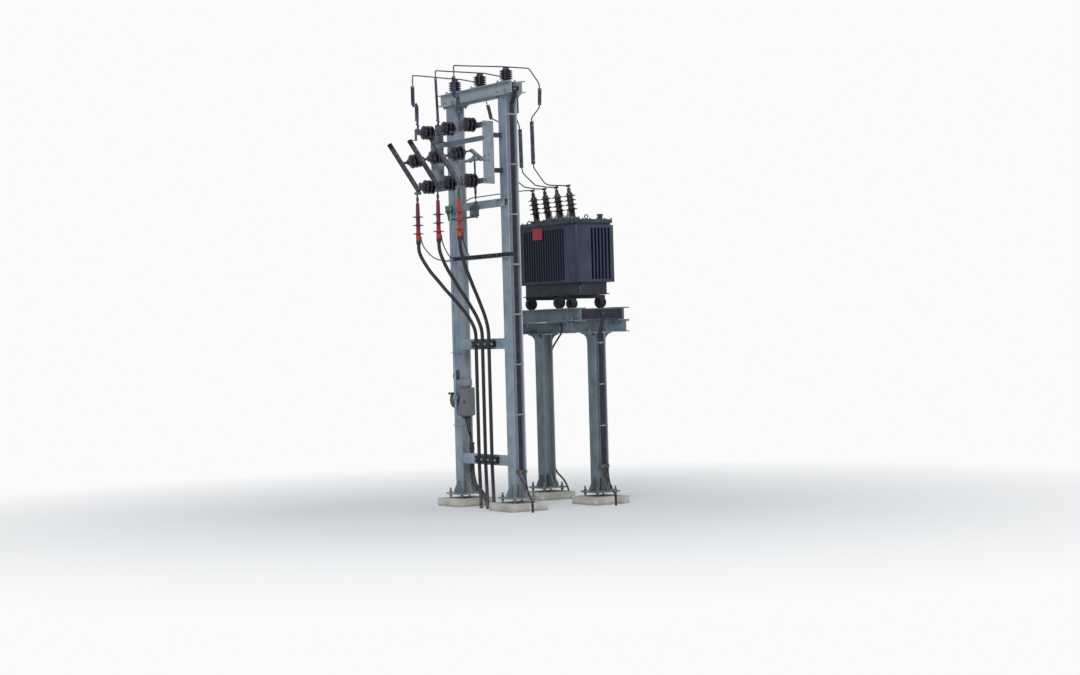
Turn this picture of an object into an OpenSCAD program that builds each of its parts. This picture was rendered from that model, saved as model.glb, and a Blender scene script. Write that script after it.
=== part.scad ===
// Outdoor switchgear bay: a steel gantry with a three-pole disconnector,
// cable terminations and an earthed transformer on its own steel stand.
// X runs from the switch to the transformer, Y along the gantry beam, Z up.
// The origin is under the near gantry column, on the ground.

/* [Gantry] */
// Distance between the two gantry columns
col_pitch = 1050; // [950:10:1200]
// Depth and width of each H column
col_size = 140; // [120:5:160]
// Thickness of the column flanges
col_flange = 12; // [8:1:14]
// Thickness of the column web
col_web = 7; // [5:1:10]
// Height of the top face of the gantry beam above the ground
gantry_h = 4375; // [4200:25:4600]
// Height of the two channels of the gantry beam
beam_h = 120; // [100:5:140]
// Flange width of the beam channels
beam_flange = 50; // [40:1:60]
// Clear gap between the backs of the beam channels
beam_gap = 116; // [90:2:130]
// Length of the beam past each column centre
beam_over = 190; // [150:5:260]

/* [Feet] */
// Side of each square foundation pad
pad_size = 440; // [400:10:500]
// Height of the pads above the ground
pad_h = 80; // [40:5:120]
// Side of the square base plates
base_size = 300; // [280:5:340]
// Thickness of the base plates
base_t = 16; // [12:1:25]
// Levelling gap between pad and base plate
level_gap = 40; // [30:1:50]
// Distance between the anchor studs of one base plate
stud_pitch = 230; // [225:1:240]
// Radius of the anchor studs
stud_r = 10; // [8:1:12]

/* [Crossing steel] */
// Drop from the top of the gantry beam to the underside of the upper channel
cross_drop = 1265; // [1210:5:1320]
// Height of the upper channel between the columns
cross_h = 80; // [70:1:90]
// Depth of the upper channel along X
cross_d = 45; // [40:1:55]
// Drop from the underside of the channel to that of the earth bar angle
angle_drop = 520; // [480:10:560]
// Leg width of that angle
angle_w = 50; // [40:1:60]
// Height of the centre line of the upper cable crossbar
upper_bar_z = 1708; // [1600:4:1800]
// Height of the centre line of the lower cable crossbar
lower_bar_z = 508; // [450:4:600]
// Height of the cable crossbars
bar_h = 110; // [90:2:120]

/* [Switch] */
// Distance between the poles of the disconnector
pole_pitch = 425; // [400:5:430]
// Distance from the column faces to the back of the switch frame
bracket_len = 109; // [80:1:140]
// Width of the side plates of the switch frame
side_w = 130; // [120:2:150]
// Height of the side plates
side_h = 640; // [630:2:680]
// Drop from the top of the gantry beam to the centre of the side plates
switch_drop = 717; // [690:1:740]
// Side of the square tubes that carry the insulators
tube_s = 50; // [40:1:60]
// Distance between the upper and the lower row of insulators
row_pitch = 570; // [560:2:580]
// Length of a post insulator with its caps
post_len = 190; // [185:1:200]
// Length of a post insulator on top of the gantry beam
top_post_len = 142; // [130:2:200]
// Radius of the insulator sheds
shed_r = 74; // [62:1:76]
// Radius of the insulator core
core_r = 44; // [36:1:48]
// Distance from the pivot of a blade to its tip
blade_len = 560; // [540:2:570]
// Width of the blade bars
blade_w = 40; // [30:1:44]
// Thickness of the blade bars
blade_t = 6; // [5:1:8]
// Opening of the blades from the upright, as they stand here
blade_open = 35; // [30:1:40]
// Distance from the blade pivot to the pin of the drive link
drive_arm = 315; // [300:1:330]
// Radius of the drive shaft
shaft_r = 15; // [12:1:18]

/* [Linkage] */
// Length of the shaft lever that pulls the upper rod
lever_len = 70; // [65:1:75]
// Long arm of the near bell crank
crank_long = 140; // [125:1:150]
// Short arms of the bell cranks
crank_short = 90; // [80:1:95]
// Arm of the hand wheel that moves the operating tube
wheel_arm = 85; // [80:1:90]
// Height of the centre of the hand wheel
wheel_z = 1125; // [1050:5:1200]
// Height of the operating box
box_h = 290; // [240:5:320]
// Radius of the operating rods
rod_r = 10; // [8:1:10]
// Radius of the operating tube on the far column
tube_r = 13; // [11:1:14]

/* [Cables] */
// Diameter of the power cables
cable_d = 38; // [30:1:42]
// Distance between the cables in their clamps
cable_pitch = 128; // [110:2:140]
// Length of a cable termination
term_len = 438; // [400:2:480]
// Width of the earth strips
strip_w = 46; // [40:1:60]

/* [Transformer] */
// Distance from the gantry columns to the stand columns
stand_x = 1050; // [1000:5:1120]
// Height of the top face of the stand
stand_h = 2060; // [1950:10:2200]
// Width of the transformer cover along X
cover_w = 495; // [480:5:560]
// Length of the transformer cover along Y
cover_l = 1180; // [1160:5:1240]
// Height of the finned tank
tank_h = 650; // [600:5:700]
// Distance between the high-voltage bushings
bushing_pitch = 233; // [220:1:240]
// Length of a high-voltage bushing above the cover
bushing_len = 368; // [340:2:400]
// Length of a low-voltage bushing above the cover
low_bushing_len = 150; // [140:2:180]
// Radius of the rollers under the transformer
roller_r = 62; // [55:1:70]

/* [Hidden] */
$fn = 48;
gap = 0.3;
side_t = 6;
half_col = col_size / 2;
base_z = pad_h + level_gap;
column_foot = base_z + base_t;
saddle_t = 12;
saddle_l = 200;
clip_t = 3;
clip_h = 16;
column_top = gantry_h - beam_h - saddle_t;
mid_y = col_pitch / 2;
cross_z = gantry_h - cross_drop;
angle_z = cross_z - angle_drop;
switch_z = gantry_h - switch_drop;
steel_colour = "#93a3a8";
glaze_colour = "#3a2630";
copper_colour = "#4a3540";

// Places of the switch
side_x1 = -half_col - bracket_len;
side_x0 = side_x1 - side_w;
pole_y = [for (i = [-1:1]) mid_y + i * pole_pitch];
tube_x0 = side_x0;
upper_z = switch_z + row_pitch / 2;
lower_z = switch_z - row_pitch / 2;
post_tip_x = tube_x0 - post_len;
pivot_x = post_tip_x - 46;
pivot_z = lower_z - 20;
drive_x = side_x0 + 39;
drive_z = switch_z - 58;
link_len = 351;
arm_len = 137.4;
function ang(a, b) = atan2(b[1] - a[1], b[0] - a[0]);
function dist(a, b) = norm([b[0] - a[0], b[1] - a[1]]);
shaft_axis = [drive_x, drive_z];
function link_pin(a) = [pivot_x - drive_arm * sin(a), pivot_z + drive_arm * cos(a)];
function arm_dir(a) = let (p = link_pin(a), r = dist(shaft_axis, p))
    ang(shaft_axis, p) - acos((r * r + arm_len * arm_len - link_len * link_len) / (2 * r * arm_len));
pin_open = link_pin(blade_open);
arm_angle = arm_dir(blade_open);
arm_tip = [drive_x + arm_len * cos(arm_angle), drive_z + arm_len * sin(arm_angle)];
shaft_turn = arm_angle - arm_dir(0);
link_angle = ang(pin_open, arm_tip);

// Places of the linkage
swing = shaft_turn / 2;
rod_stroke = 2 * lever_len * sin(swing);
rod_x = drive_x + lever_len * (1 + cos(swing)) / 2;
rod_y = pole_y[0] + 230;
rod_top = drive_z + lever_len * sin(swing);
eye_t = 8;
side_gap = 5;
near_crank_x = rod_x + eye_t / 2 + side_gap;
crank_z = cross_z + 10;
crank_rest = asin(rod_stroke / 2 / crank_long);
near_crank_y = rod_y + crank_long * (1 + cos(crank_rest)) / 2;
tube_x = -half_col - 96;
far_crank_x = tube_x + eye_t / 2 + side_gap;
link_x = tube_x + tube_r + side_gap + rod_r;
link_z = crank_z - crank_short * (1 + cos(crank_rest)) / 2;
tube_stroke = 2 * crank_short * sin(crank_rest);
wheel_rest = asin(tube_stroke / 2 / wheel_arm);
wheel_y = col_pitch - 44;
tube_y = wheel_y - wheel_arm * (1 + cos(wheel_rest)) / 2;
far_crank_y = tube_y + crank_short * (1 + cos(crank_rest)) / 2;
collar = 18;
wheel_x = tube_x + collar + side_gap + 1;

// Places of the stand and the transformer
stand_y = [43, col_pitch + 13];
upper_beam_x = [stand_x - 280, stand_x + 270];
upper_beam_h = 140;
lower_beam_h = 120;
stand_beam_y0 = -90;
stand_beam_y1 = stand_y[1] + 237;
lower_z_stand = stand_h - upper_beam_h - lower_beam_h;
tank_x = stand_x + 12;
tank_y = (stand_y[0] + stand_y[1]) / 2 + 64;
base_bottom = stand_h + 140;
tank_z0 = base_bottom + 130;
cover_z = tank_z0 + tank_h;

module h_bar(len, depth, width, flange, web) {
    linear_extrude(len) {
        for (s = [-1, 1]) translate([s * (depth - flange) / 2, 0]) square([flange, width], center = true);
        square([depth - flange * 2 + 0.02, web], center = true);
    }
}

module u_bar(len, height, width, flange, web) {
    // Back of the channel on the plane x = 0, flanges towards +X, along Y
    rotate([-90, 0, 0]) linear_extrude(len) translate([0, -height]) difference() {
        square([width, height]);
        translate([web, flange]) square([width, height - flange * 2]);
    }
}

module rod(p, q, r) {
    v = q - p;
    translate(p) rotate([0, acos(v[2] / norm(v)), atan2(v[1], v[0])]) cylinder(h = norm(v), r = r);
}

// Profile of a row of rounded sheds, from the core out and back
function shed_row(count, z0, pitch, core, edge) = [for (i = [0:count - 1])
    let (c = z0 + (i + 0.5) * pitch, e = pitch * 0.2)
        each concat([[core, c - pitch * 0.42]],
            [for (a = [-90:30:90]) [edge - e + e * cos(a), c + e * sin(a)]],
            [[core, c + pitch * 0.42]])];

module post(len, count, cap_r, edge) {
    cap = len * 0.13;
    cylinder(h = cap, r = cap_r);
    translate([0, 0, len - cap]) cylinder(h = cap, r = cap_r);
    rotate_extrude() polygon(concat([[0, cap - 6], [core_r, cap]],
        shed_row(count, cap + 4, (len - cap * 2 - 8) / count, core_r, edge),
        [[core_r, len - cap], [0, len - cap + 6]]));
}

module rounded_block(w, l, h, r) {
    translate([r - w / 2, -l / 2, 0]) cube([w - r * 2, l, h]);
    translate([-w / 2, r - l / 2, 0]) cube([w, l - r * 2, h]);
    for (sx = [-1, 1], sy = [-1, 1]) translate([sx * (w / 2 - r), sy * (l / 2 - r), 0])
        cylinder(h = h, r = r);
}

function unit(v) = v / norm(v);
function tangent(p, i) = i == 0 ? unit(p[1] - p[0])
    : i == len(p) - 1 ? unit(p[i] - p[i - 1])
    : unit(unit(p[i + 1] - p[i]) + unit(p[i] - p[i - 1]));
function ring(c, t, w, h, n) = let (s = unit(cross([0, 1, 0], t)), u = cross(s, t))
    [for (k = [0:n - 1]) let (a = 360 * (k + 0.5) / n) c + s * w * cos(a) + u * h * sin(a)];
function place(p) = [p[0], p[1], p[2]];
function curve_point(a, b, c, d, t) = 0.5 * (2 * b + (c - a) * t + (2 * a - 5 * b + 4 * c - d) * t * t
    + (3 * b - a - 3 * c + d) * t * t * t);
function smooth(p, steps) = [
    for (i = [0:len(p) - 2]) for (k = [0:steps - 1])
        curve_point(p[max(i - 1, 0)], p[i], p[i + 1], p[min(i + 2, len(p) - 1)], k / steps),
    p[len(p) - 1]
];

module tube_skin(rings, n) {
    m = len(rings) / n;
    walls = [for (i = [0:m - 2]) for (k = [0:n - 1])
        [i * n + k, i * n + (k + 1) % n, (i + 1) * n + (k + 1) % n, (i + 1) * n + k]];
    polyhedron(rings, concat([[for (k = [0:n - 1]) n - 1 - k]], walls,
        [[for (k = [0:n - 1]) (m - 1) * n + k]]),
        convexity = 4);
}

// Round cable of one thickness along the points
module sweep(p, r, n) {
    tube_skin([for (i = [0:len(p) - 1]) each ring(p[i], tangent(p, i), r, r, n)], n);
}

// Bar whose points are [x, y, z, half width, half thickness]
module bar_sweep(p, n) {
    path = [for (q = p) place(q)];
    tube_skin([for (i = [0:len(p) - 1]) each ring(path[i], tangent(path, i), p[i][3], p[i][4], n)], n);
}

module foot(x, y) {
    translate([x, y, 0]) children();
}

module foundation_pads() {
    color("#c9c6bb") {
        for (y = [0, col_pitch]) foot(0, y) pad();
        for (y = stand_y) foot(stand_x, y) pad();
    }
}

module pad() {
    translate([-pad_size / 2, -pad_size / 2, 0]) cube([pad_size, pad_size, pad_h]);
}

module studs() {
    nut_h = 18;
    for (sx = [-1, 1], sy = [-1, 1]) translate([sx * stud_pitch / 2, sy * stud_pitch / 2, pad_h]) {
        cylinder(h = level_gap + base_t + 50, r = stud_r);
        translate([0, 0, level_gap - nut_h]) cylinder(h = nut_h, r = stud_r * 1.8, $fn = 6);
        translate([0, 0, level_gap + base_t]) cylinder(h = nut_h, r = stud_r * 1.8, $fn = 6);
    }
}

module anchor_bolts() {
    color("#8d8f8c") {
        for (y = [0, col_pitch]) foot(0, y) studs();
        for (y = stand_y) foot(stand_x, y) studs();
    }
}

module column_foot_plate(depth) {
    rib = (base_size - depth) / 2 - 8;
    translate([0, 0, base_z]) difference() {
        translate([-base_size / 2, -base_size / 2, 0]) cube([base_size, base_size, base_t]);
        for (sx = [-1, 1], sy = [-1, 1])
            translate([sx * stud_pitch / 2, sy * stud_pitch / 2, -1])
                cylinder(h = base_t + 2, r = stud_r + 2);
    }
    for (a = [0, 180]) rotate([0, 0, a]) translate([depth / 2, 4, column_foot]) rotate([90, 0, 0])
        linear_extrude(8) polygon([[-0.01, -0.01], [rib, -0.01], [rib, 25], [20, 130], [-0.01, 130]]);
    for (a = [90, 270]) rotate([0, 0, a]) translate([col_web / 2, 4, column_foot]) rotate([90, 0, 0])
        linear_extrude(8) polygon([[-0.01, -0.01], [base_size / 2 - 12, -0.01], [base_size / 2 - 12, 25],
            [depth / 2, 130], [-0.01, 130]]);
}

module gantry_column() {
    translate([0, 0, column_foot - 0.01])
        h_bar(column_top - column_foot + 0.01, col_size, col_size, col_flange, col_web);
    column_foot_plate(col_size);
}

// Clips across the open side of a column, for the earth strip
module strip_clips(heights) {
    for (z = heights) translate([-half_col, -half_col - clip_t, z - clip_h / 2])
        cube([col_size, clip_t + 0.01, clip_h]);
}

module gantry_columns() {
    clip_pitch = column_top / 8.3;
    color(steel_colour) {
        for (y = [0, col_pitch]) translate([0, y, 0]) gantry_column();
        strip_clips([for (i = [0:6]) column_top - 196 - i * clip_pitch]);
    }
}

module gantry_beam() {
    color(steel_colour) for (s = [0, 1]) mirror([s, 0, 0])
        translate([beam_gap / 2, -beam_over, gantry_h - beam_h])
            u_bar(col_pitch + beam_over * 2, beam_h, beam_flange, 9, 7);
}

module beam_saddles() {
    color(steel_colour) {
        for (y = [0, col_pitch]) translate([-110, y - saddle_l / 2, column_top])
            cube([220, saddle_l, saddle_t]);
        for (y = top_post_y) translate([-90, y - 60, gantry_h]) cube([180, 120, 10]);
    }
}

top_post_y = [10, mid_y, col_pitch - 10];
top_post_z = gantry_h + 10;
wire_r = 7;
saddle_h = 4;
top_wire_z = top_post_z + top_post_len + saddle_h + wire_r + gap;

module top_post_insulators() {
    color(glaze_colour) for (y = top_post_y) translate([0, y, top_post_z]) {
        post(top_post_len, 5, 34, shed_r - 6);
        translate([-30, -14, top_post_len]) cube([60, 28, saddle_h]);
    }
}

module upper_cross_channel() {
    color(steel_colour) translate([-half_col - cross_d, -half_col, cross_z])
        u_bar(col_pitch + col_size, cross_h, cross_d, 6, 6);
}

module earth_bar_angle() {
    color(steel_colour) translate([-half_col, -half_col, angle_z]) {
        translate([-5, 0, 0]) cube([5, col_pitch + col_size, angle_w]);
        translate([-angle_w, 0, 0]) cube([angle_w - 4.99, col_pitch + col_size, 5]);
    }
}

module cable_crossbars() {
    color(steel_colour) for (z = [upper_bar_z, lower_bar_z]) {
        translate([-half_col + 2, half_col, z - bar_h / 2])
            cube([col_flange - 2, col_pitch - col_size, bar_h]);
        for (y = [30, col_pitch - 130]) translate([-half_col + col_flange, y, z - bar_h / 2 + 10])
            cube([8, 100, bar_h - 20]);
    }
}

bar_face = -half_col + 2;
cable_x = bar_face - 16 - cable_d / 2;
cable_y = [for (i = [-1:1]) mid_y - 75 + i * cable_pitch];

cleat = 16;
clamp_h = 70;

module cable_clamps() {
    color("#26272b") for (z = [upper_bar_z, lower_bar_z]) difference() {
        union() {
            translate([cable_x - 8, cable_y[0] - 86, z - clamp_h / 2])
                cube([bar_face - cable_x + 8, cable_y[2] - cable_y[0] + 172, clamp_h]);
            for (y = cable_y) translate([cable_x, y, z - clamp_h / 2])
                cylinder(h = clamp_h, r = cable_d / 2 + cleat);
        }
        for (y = cable_y) translate([cable_x, y, z - clamp_h / 2 - 1])
            cylinder(h = clamp_h + 2, r = cable_d / 2 + gap);
    }
}

lug_block = 26;
block_top = 36;
term_x = pivot_x - 2;
term_top = pivot_z - block_top - lug_block;
stem = 85;
term_bottom = term_top - stem - term_len;
// Height and sideways share of the way from the termination to the upper clamp
cable_fall = [[0.02, 0], [0.04, 0], [0.10, 0.02], [0.18, 0.09], [0.28, 0.20], [0.37, 0.33], [0.47, 0.47],
    [0.56, 0.61], [0.66, 0.75], [0.75, 0.87], [0.84, 0.955], [0.90, 0.99], [0.95, 1], [0.98, 1]];
clamp_top = upper_bar_z + clamp_h / 2;
bar_mid = (upper_bar_z + lower_bar_z) / 2;
cable_drop = [upper_bar_z - 70, bar_mid, lower_bar_z + 110, lower_bar_z + 60, lower_bar_z - 50, lower_bar_z - 80];
function cable_route(i) = concat(
    [[term_x, pole_y[i], term_bottom]],
    [for (f = cable_fall) [term_x + (cable_x - term_x) * f[1],
        pole_y[i] + (cable_y[i] - pole_y[i]) * f[1], term_bottom + (clamp_top - term_bottom) * f[0]]],
    [for (z = cable_drop) [cable_x, cable_y[i], z]],
    [[cable_x - 4, cable_y[i] - 12, 300], [cable_x - 11, cable_y[i] - 30, 150],
    [cable_x - 15, cable_y[i] - 40, 60],
        [cable_x - 15, cable_y[i] - 40, 0]]);

module power_cables() {
    color("#232327") for (i = [0:2]) sweep(smooth(cable_route(i), 2), cable_d / 2, 12);
}

module cable_terminations() {
    body = 22;
    color("#a8372c") for (y = pole_y) translate([term_x, y, term_bottom]) {
        rotate_extrude() polygon([
            [0, 0], [body + 2, 0], [body + 4, 20], [body + 4, 100], [body, 108],
            for (z = [0.26, 0.46, 0.66]) for (p = [[body, -9], [57, -5], [60, -3], [60, -1], [57, 1],
                [32, 5], [body, 13]])
                [p[0], z * term_len + p[1]],
            [body - 1, term_len * 0.72], [body - 3, term_len - 16], [body - 7, term_len], [0, term_len]
        ]);
        translate([0, 0, term_len - 1]) cylinder(h = stem + 1, r = 9);
        translate([0, 0, term_len + 14]) cylinder(h = 40, r = 14);
    }
}

module switch_side() {
    // Plate on the plane y = 0 with its back flange towards +Y and the shaft's bearing outside
    difference() {
        union() {
            translate([side_x0, -side_t, switch_z - side_h / 2]) cube([side_w, side_t, side_h]);
            translate([side_x1 - side_t, -0.01, switch_z - side_h / 2]) cube([side_t, 45, side_h]);
            translate([drive_x, -side_t + 0.01, drive_z]) rotate([90, 0, 0])
                cylinder(h = 8, r = shaft_r + 15);
        }
        translate([drive_x, 1, drive_z]) rotate([90, 0, 0]) cylinder(h = side_t + 12, r = shaft_r + gap);
    }
}

module switch_side_plates() {
    color("#aab6b6") {
        switch_side();
        translate([0, col_pitch, 0]) mirror([0, 1, 0]) switch_side();
    }
}

module switch_insulator_tubes() {
    color("#aab6b6") for (z = [upper_z, lower_z]) translate([tube_x0, 0, z - tube_s / 2]) difference() {
        cube([tube_s, col_pitch, tube_s]);
        translate([4, -1, 4]) cube([tube_s - 8, col_pitch + 2, tube_s - 8]);
    }
}

module switch_stiffener() {
    color("#aab6b6") translate([side_x0, 0, drive_z + 180]) u_bar(col_pitch, 48, 25, 5, 5);
}

module switch_brackets() {
    color(steel_colour) for (y = [5, col_pitch - 55], z = [switch_z - 178, switch_z + 182])
        translate([side_x1, y, z - 25]) difference() {
            cube([bracket_len, 50, 50]);
            translate([6, -1, 6]) cube([bracket_len - 12, 45, 50]);
        }
}

module row_of_posts(z) {
    for (y = pole_y) translate([tube_x0, y, z]) rotate([0, -90, 0]) post(post_len, 3, 30, shed_r);
}

module upper_row_insulators() {
    color(glaze_colour) row_of_posts(upper_z);
}

module lower_row_insulators() {
    color(glaze_colour) row_of_posts(lower_z);
}

jaw_top = upper_z + 38;
jaw_tongue = 24;
jaw_reach = 88;
horn_len = 80;

module contact_jaws() {
    tongue_x = pivot_x - jaw_tongue / 2;
    color("#8f8a84") for (y = pole_y) {
        translate([post_tip_x - 10, y - 26, upper_z - 26]) cube([10, 52, 52]);
        translate([tongue_x, y - 5, upper_z - jaw_reach]) cube([jaw_tongue, 10, jaw_reach + 30]);
        translate([tongue_x, y - 5, upper_z - 16]) cube([post_tip_x - 9.99 - tongue_x, 10, 46]);
        translate([riser_x - 22, y - 14, upper_z + 29.99]) cube([42, 28, jaw_top - upper_z - 30]);
        translate([tongue_x - horn_len, y - 3, upper_z - jaw_reach]) cube([horn_len + 0.01, 6, 8]);
    }
}

module hinge_terminals() {
    block_x = pivot_x - 22;
    color("#a9a7a2") for (y = pole_y) {
        translate([post_tip_x - 10, y - 30, lower_z - 40]) cube([10, 60, 80]);
        difference() {
            translate([pivot_x - 16, y - 5, pivot_z - block_top - 1])
                cube([post_tip_x - 9.99 - pivot_x + 16, 10, block_top + 27]);
            translate([pivot_x, y + 6, pivot_z]) rotate([90, 0, 0]) cylinder(h = 12, r = 8 + gap);
        }
        translate([block_x, y - 22, pivot_z - block_top - lug_block])
            cube([post_tip_x - 10 - block_x, 44, lug_block]);
        translate([pivot_x + 24, y - 5, pivot_z + 25.9]) cube([16, 10, 40]);
    }
}

bar_in = 11;

module along_blade(y) {
    translate([pivot_x, y, pivot_z]) rotate([0, -blade_open, 0]) children();
}

module switch_blades() {
    color("#8b8078") for (y = pole_y) along_blade(y) {
        for (s = [-1, 1]) translate([-blade_w / 2, s > 0 ? bar_in : -bar_in - blade_t, -22])
            cube([blade_w, blade_t, blade_len + 22]);
        for (z = [0, drive_arm]) translate([0, bar_in + blade_t + 5, z]) rotate([90, 0, 0])
            cylinder(h = (bar_in + blade_t + 5) * 2, r = 8);
        translate([0, bar_in + 0.01, drive_arm + 120]) rotate([90, 0, 0])
            cylinder(h = bar_in * 2 + 0.02, r = 9);
    }
}

eye_reach = 78;

module along_link(y) {
    translate([pin_open[0], y, pin_open[1]]) rotate([0, -link_angle, 0]) children();
}

module drive_insulators() {
    color(glaze_colour) for (y = pole_y) along_link(y) {
        difference() {
            union() {
                rotate([90, 0, 0]) translate([0, 0, -5]) cylinder(h = 10, r = 18);
                translate([0, -5, -14]) cube([eye_reach + 0.01, 10, 28]);
            }
            rotate([90, 0, 0]) translate([0, 0, -6]) cylinder(h = 12, r = 8 + gap);
        }
        translate([eye_reach, 0, 0]) rotate([0, 90, 0]) post(post_len, 3, 30, shed_r);
        translate([eye_reach + post_len - 0.01, 0, 0]) rotate([0, 90, 0])
            cylinder(h = link_len - post_len - eye_reach - 12, r = 9);
        translate([link_len, 5, 0]) rotate([90, 0, 0]) cylinder(h = 10, r = 18);
    }
}

cheek_in = 15;

module drive_shaft() {
    color("#8f9a9c") {
        translate([drive_x, col_pitch + 22, drive_z]) rotate([90, 0, 0])
            cylinder(h = col_pitch + 44, r = shaft_r);
        for (y = pole_y, s = [-1, 1]) translate([drive_x, y + s * (cheek_in + 3), drive_z])
            rotate([0, -arm_angle, 0]) {
            translate([0, -3, -14]) cube([arm_len, 6, 28]);
            rotate([90, 0, 0]) cylinder(h = 6, r = 24, center = true);
            translate([arm_len, 0, 0]) rotate([90, 0, 0]) cylinder(h = 6, r = 16, center = true);
            translate([arm_len, s > 0 ? 3 : -3 + cheek_in - 5 - gap, 0]) rotate([90, 0, 0])
                cylinder(h = cheek_in - 5 - gap + (s > 0 ? 3 : 0), r = 8);
        }
        translate([drive_x, rod_y - eye_t / 2 - 5, drive_z]) rotate([0, -swing, 0]) {
            translate([0, -eye_t, -14]) cube([lever_len, eye_t, 28]);
            rotate([90, 0, 0]) cylinder(h = eye_t, r = 24);
            translate([lever_len, 0, 0]) rotate([90, 0, 0]) cylinder(h = eye_t, r = 16);
            translate([lever_len, 5 - gap, 0]) rotate([90, 0, 0]) cylinder(h = 5, r = 8);
        }
    }
}

pin_r = 10;

module eye_y(r) {
    rotate([90, 0, 0]) cylinder(h = eye_t, r = r, center = true);
}

module eye_x(r) {
    rotate([0, 90, 0]) cylinder(h = eye_t, r = r, center = true);
}

rod_foot = crank_z + crank_long * sin(crank_rest);
neck_r = eye_t / 2;

module upper_rod() {
    length = rod_top - rod_foot;
    color("#5f6c70") translate([rod_x, rod_y, 0]) {
        translate([0, 0, rod_top]) eye_y(20);
        translate([0, 0, rod_foot]) eye_x(20);
        translate([0, 0, rod_foot]) cylinder(h = length, r = neck_r);
        translate([0, 0, rod_foot + 40]) cylinder(h = length - 80, r = rod_r);
        translate([0, 0, rod_foot + length * 0.2]) cylinder(h = length * 0.25, r = rod_r + 5, $fn = 6);
    }
}

// Turned to its place at rest, pivot on the origin, plates across X; the long arm sits at -reach
module bell_crank(long, reach) {
    stub = side_gap - gap;
    link_stub = link_x - eye_t / 2 - far_crank_x - eye_t - gap;
    difference() {
        rotate([-crank_rest, 0, 0]) {
            translate([-reach, -long, -13]) cube([eye_t, long, 26]);
            translate([0, -13, -crank_short]) cube([eye_t, 26, crank_short]);
            translate([eye_t / 2 - reach, -long, 0]) eye_x(16);
            translate([eye_t / 2, 0, -crank_short]) eye_x(16);
            translate([-reach, 0, 0]) rotate([0, 90, 0]) cylinder(h = reach + eye_t, r = 24);
            translate([-reach - stub, -long, 0]) rotate([0, 90, 0]) cylinder(h = stub + 1, r = 7);
            translate([eye_t - 1, 0, -crank_short]) rotate([0, 90, 0]) cylinder(h = link_stub + 1, r = 7);
        }
        translate([-reach - 1, 0, 0]) rotate([0, 90, 0]) cylinder(h = reach + eye_t + 2, r = pin_r + gap);
    }
}

module near_bell_crank() {
    color("#5f6c70") translate([far_crank_x, near_crank_y, crank_z])
        bell_crank(crank_long, far_crank_x - near_crank_x);
}

module far_bell_crank() {
    color("#5f6c70") translate([far_crank_x, far_crank_y, crank_z]) bell_crank(crank_short, 0);
}

link_y0 = near_crank_y - crank_short * sin(crank_rest);
link_y1 = far_crank_y - crank_short * sin(crank_rest);

module link_rod() {
    color("#5f6c70") {
        for (y = [link_y0, link_y1]) translate([link_x, y, link_z]) eye_x(18);
        rod([link_x, link_y0, link_z], [link_x, link_y1, link_z], neck_r);
        rod([link_x, link_y0 + 45, link_z], [link_x, link_y1 - 45, link_z], rod_r);
    }
}

tube_top = crank_z + crank_short * sin(crank_rest);
guide_z = wheel_z - 268;
tube_foot = guide_z - 57;
collar_z = wheel_z + wheel_arm * sin(wheel_rest);

module operating_tube() {
    color("#7f8c90") translate([tube_x, tube_y, 0]) {
        translate([0, 0, tube_top]) eye_x(18);
        translate([0, 0, tube_top - 70]) cylinder(h = 70, r = neck_r);
        translate([0, 0, tube_foot]) cylinder(h = tube_top - 60 - tube_foot, r = tube_r);
        translate([-collar, -collar, collar_z - 22]) cube([collar * 2, collar * 2, 44]);
    }
}

box_x0 = -half_col - 48;
box_y0 = col_pitch - half_col - 196;
box_z0 = wheel_z - 163;
hub_len = 30;
disc_r = 82;
disc_t = 5;
knob_at = 70;
knob_reach = 55;
knob_rest = 95;

module hand_wheel() {
    stub = side_gap + 1 - gap;
    color("#8b9191") translate([wheel_x, wheel_y, wheel_z]) difference() {
        union() {
            translate([eye_t - disc_t - 1, 0, 0]) rotate([0, 90, 0]) cylinder(h = disc_t, r = disc_r);
            rotate([0, 90, 0]) cylinder(h = hub_len, r = 20);
            rotate([-wheel_rest, 0, 0]) {
                translate([0, -wheel_arm, -13]) cube([eye_t, wheel_arm, 26]);
                translate([eye_t / 2, -wheel_arm, 0]) eye_x(16);
                translate([-stub, -wheel_arm, 0]) rotate([0, 90, 0]) cylinder(h = stub + 1, r = 7);
            }
            rotate([-knob_rest, 0, 0]) translate([-knob_reach, -knob_at, 0]) rotate([0, 90, 0]) {
                cylinder(h = knob_reach + eye_t - disc_t, r = 8);
                cylinder(h = knob_reach - 16, r = 12);
            }
        }
        translate([-1, 0, 0]) rotate([0, 90, 0]) cylinder(h = hub_len + 2, r = pin_r + gap);
    }
}

module axle(x, y, z, reach_x, boss_r, hub) {
    // Fixed axle from x towards -X, with a shoulder behind the hub and an end cap before it
    translate([reach_x - 5, y, z]) rotate([0, 90, 0]) {
        cylinder(h = x - reach_x + 5, r = pin_r);
        cylinder(h = 4, r = pin_r + 5);
    }
    translate([reach_x + hub + 1, y, z]) rotate([0, 90, 0]) cylinder(h = x - reach_x - hub - 1, r = boss_r);
}

module crank_brackets() {
    channel_x = -half_col - cross_d;
    color(steel_colour) {
        axle(channel_x, near_crank_y, crank_z, near_crank_x, 18, far_crank_x + eye_t - near_crank_x);
        axle(channel_x, far_crank_y, crank_z, far_crank_x, 18, eye_t);
        translate([channel_x - 6, near_crank_y - 40, cross_z - 75]) cube([6, 180, 115]);
        translate([channel_x - 6, far_crank_y - 40, cross_z - 25]) cube([6, 80, 90]);
        axle(-half_col, wheel_y, wheel_z, wheel_x, 14, hub_len);
    }
}

box_w = 107;
box_l = 196;

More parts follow.
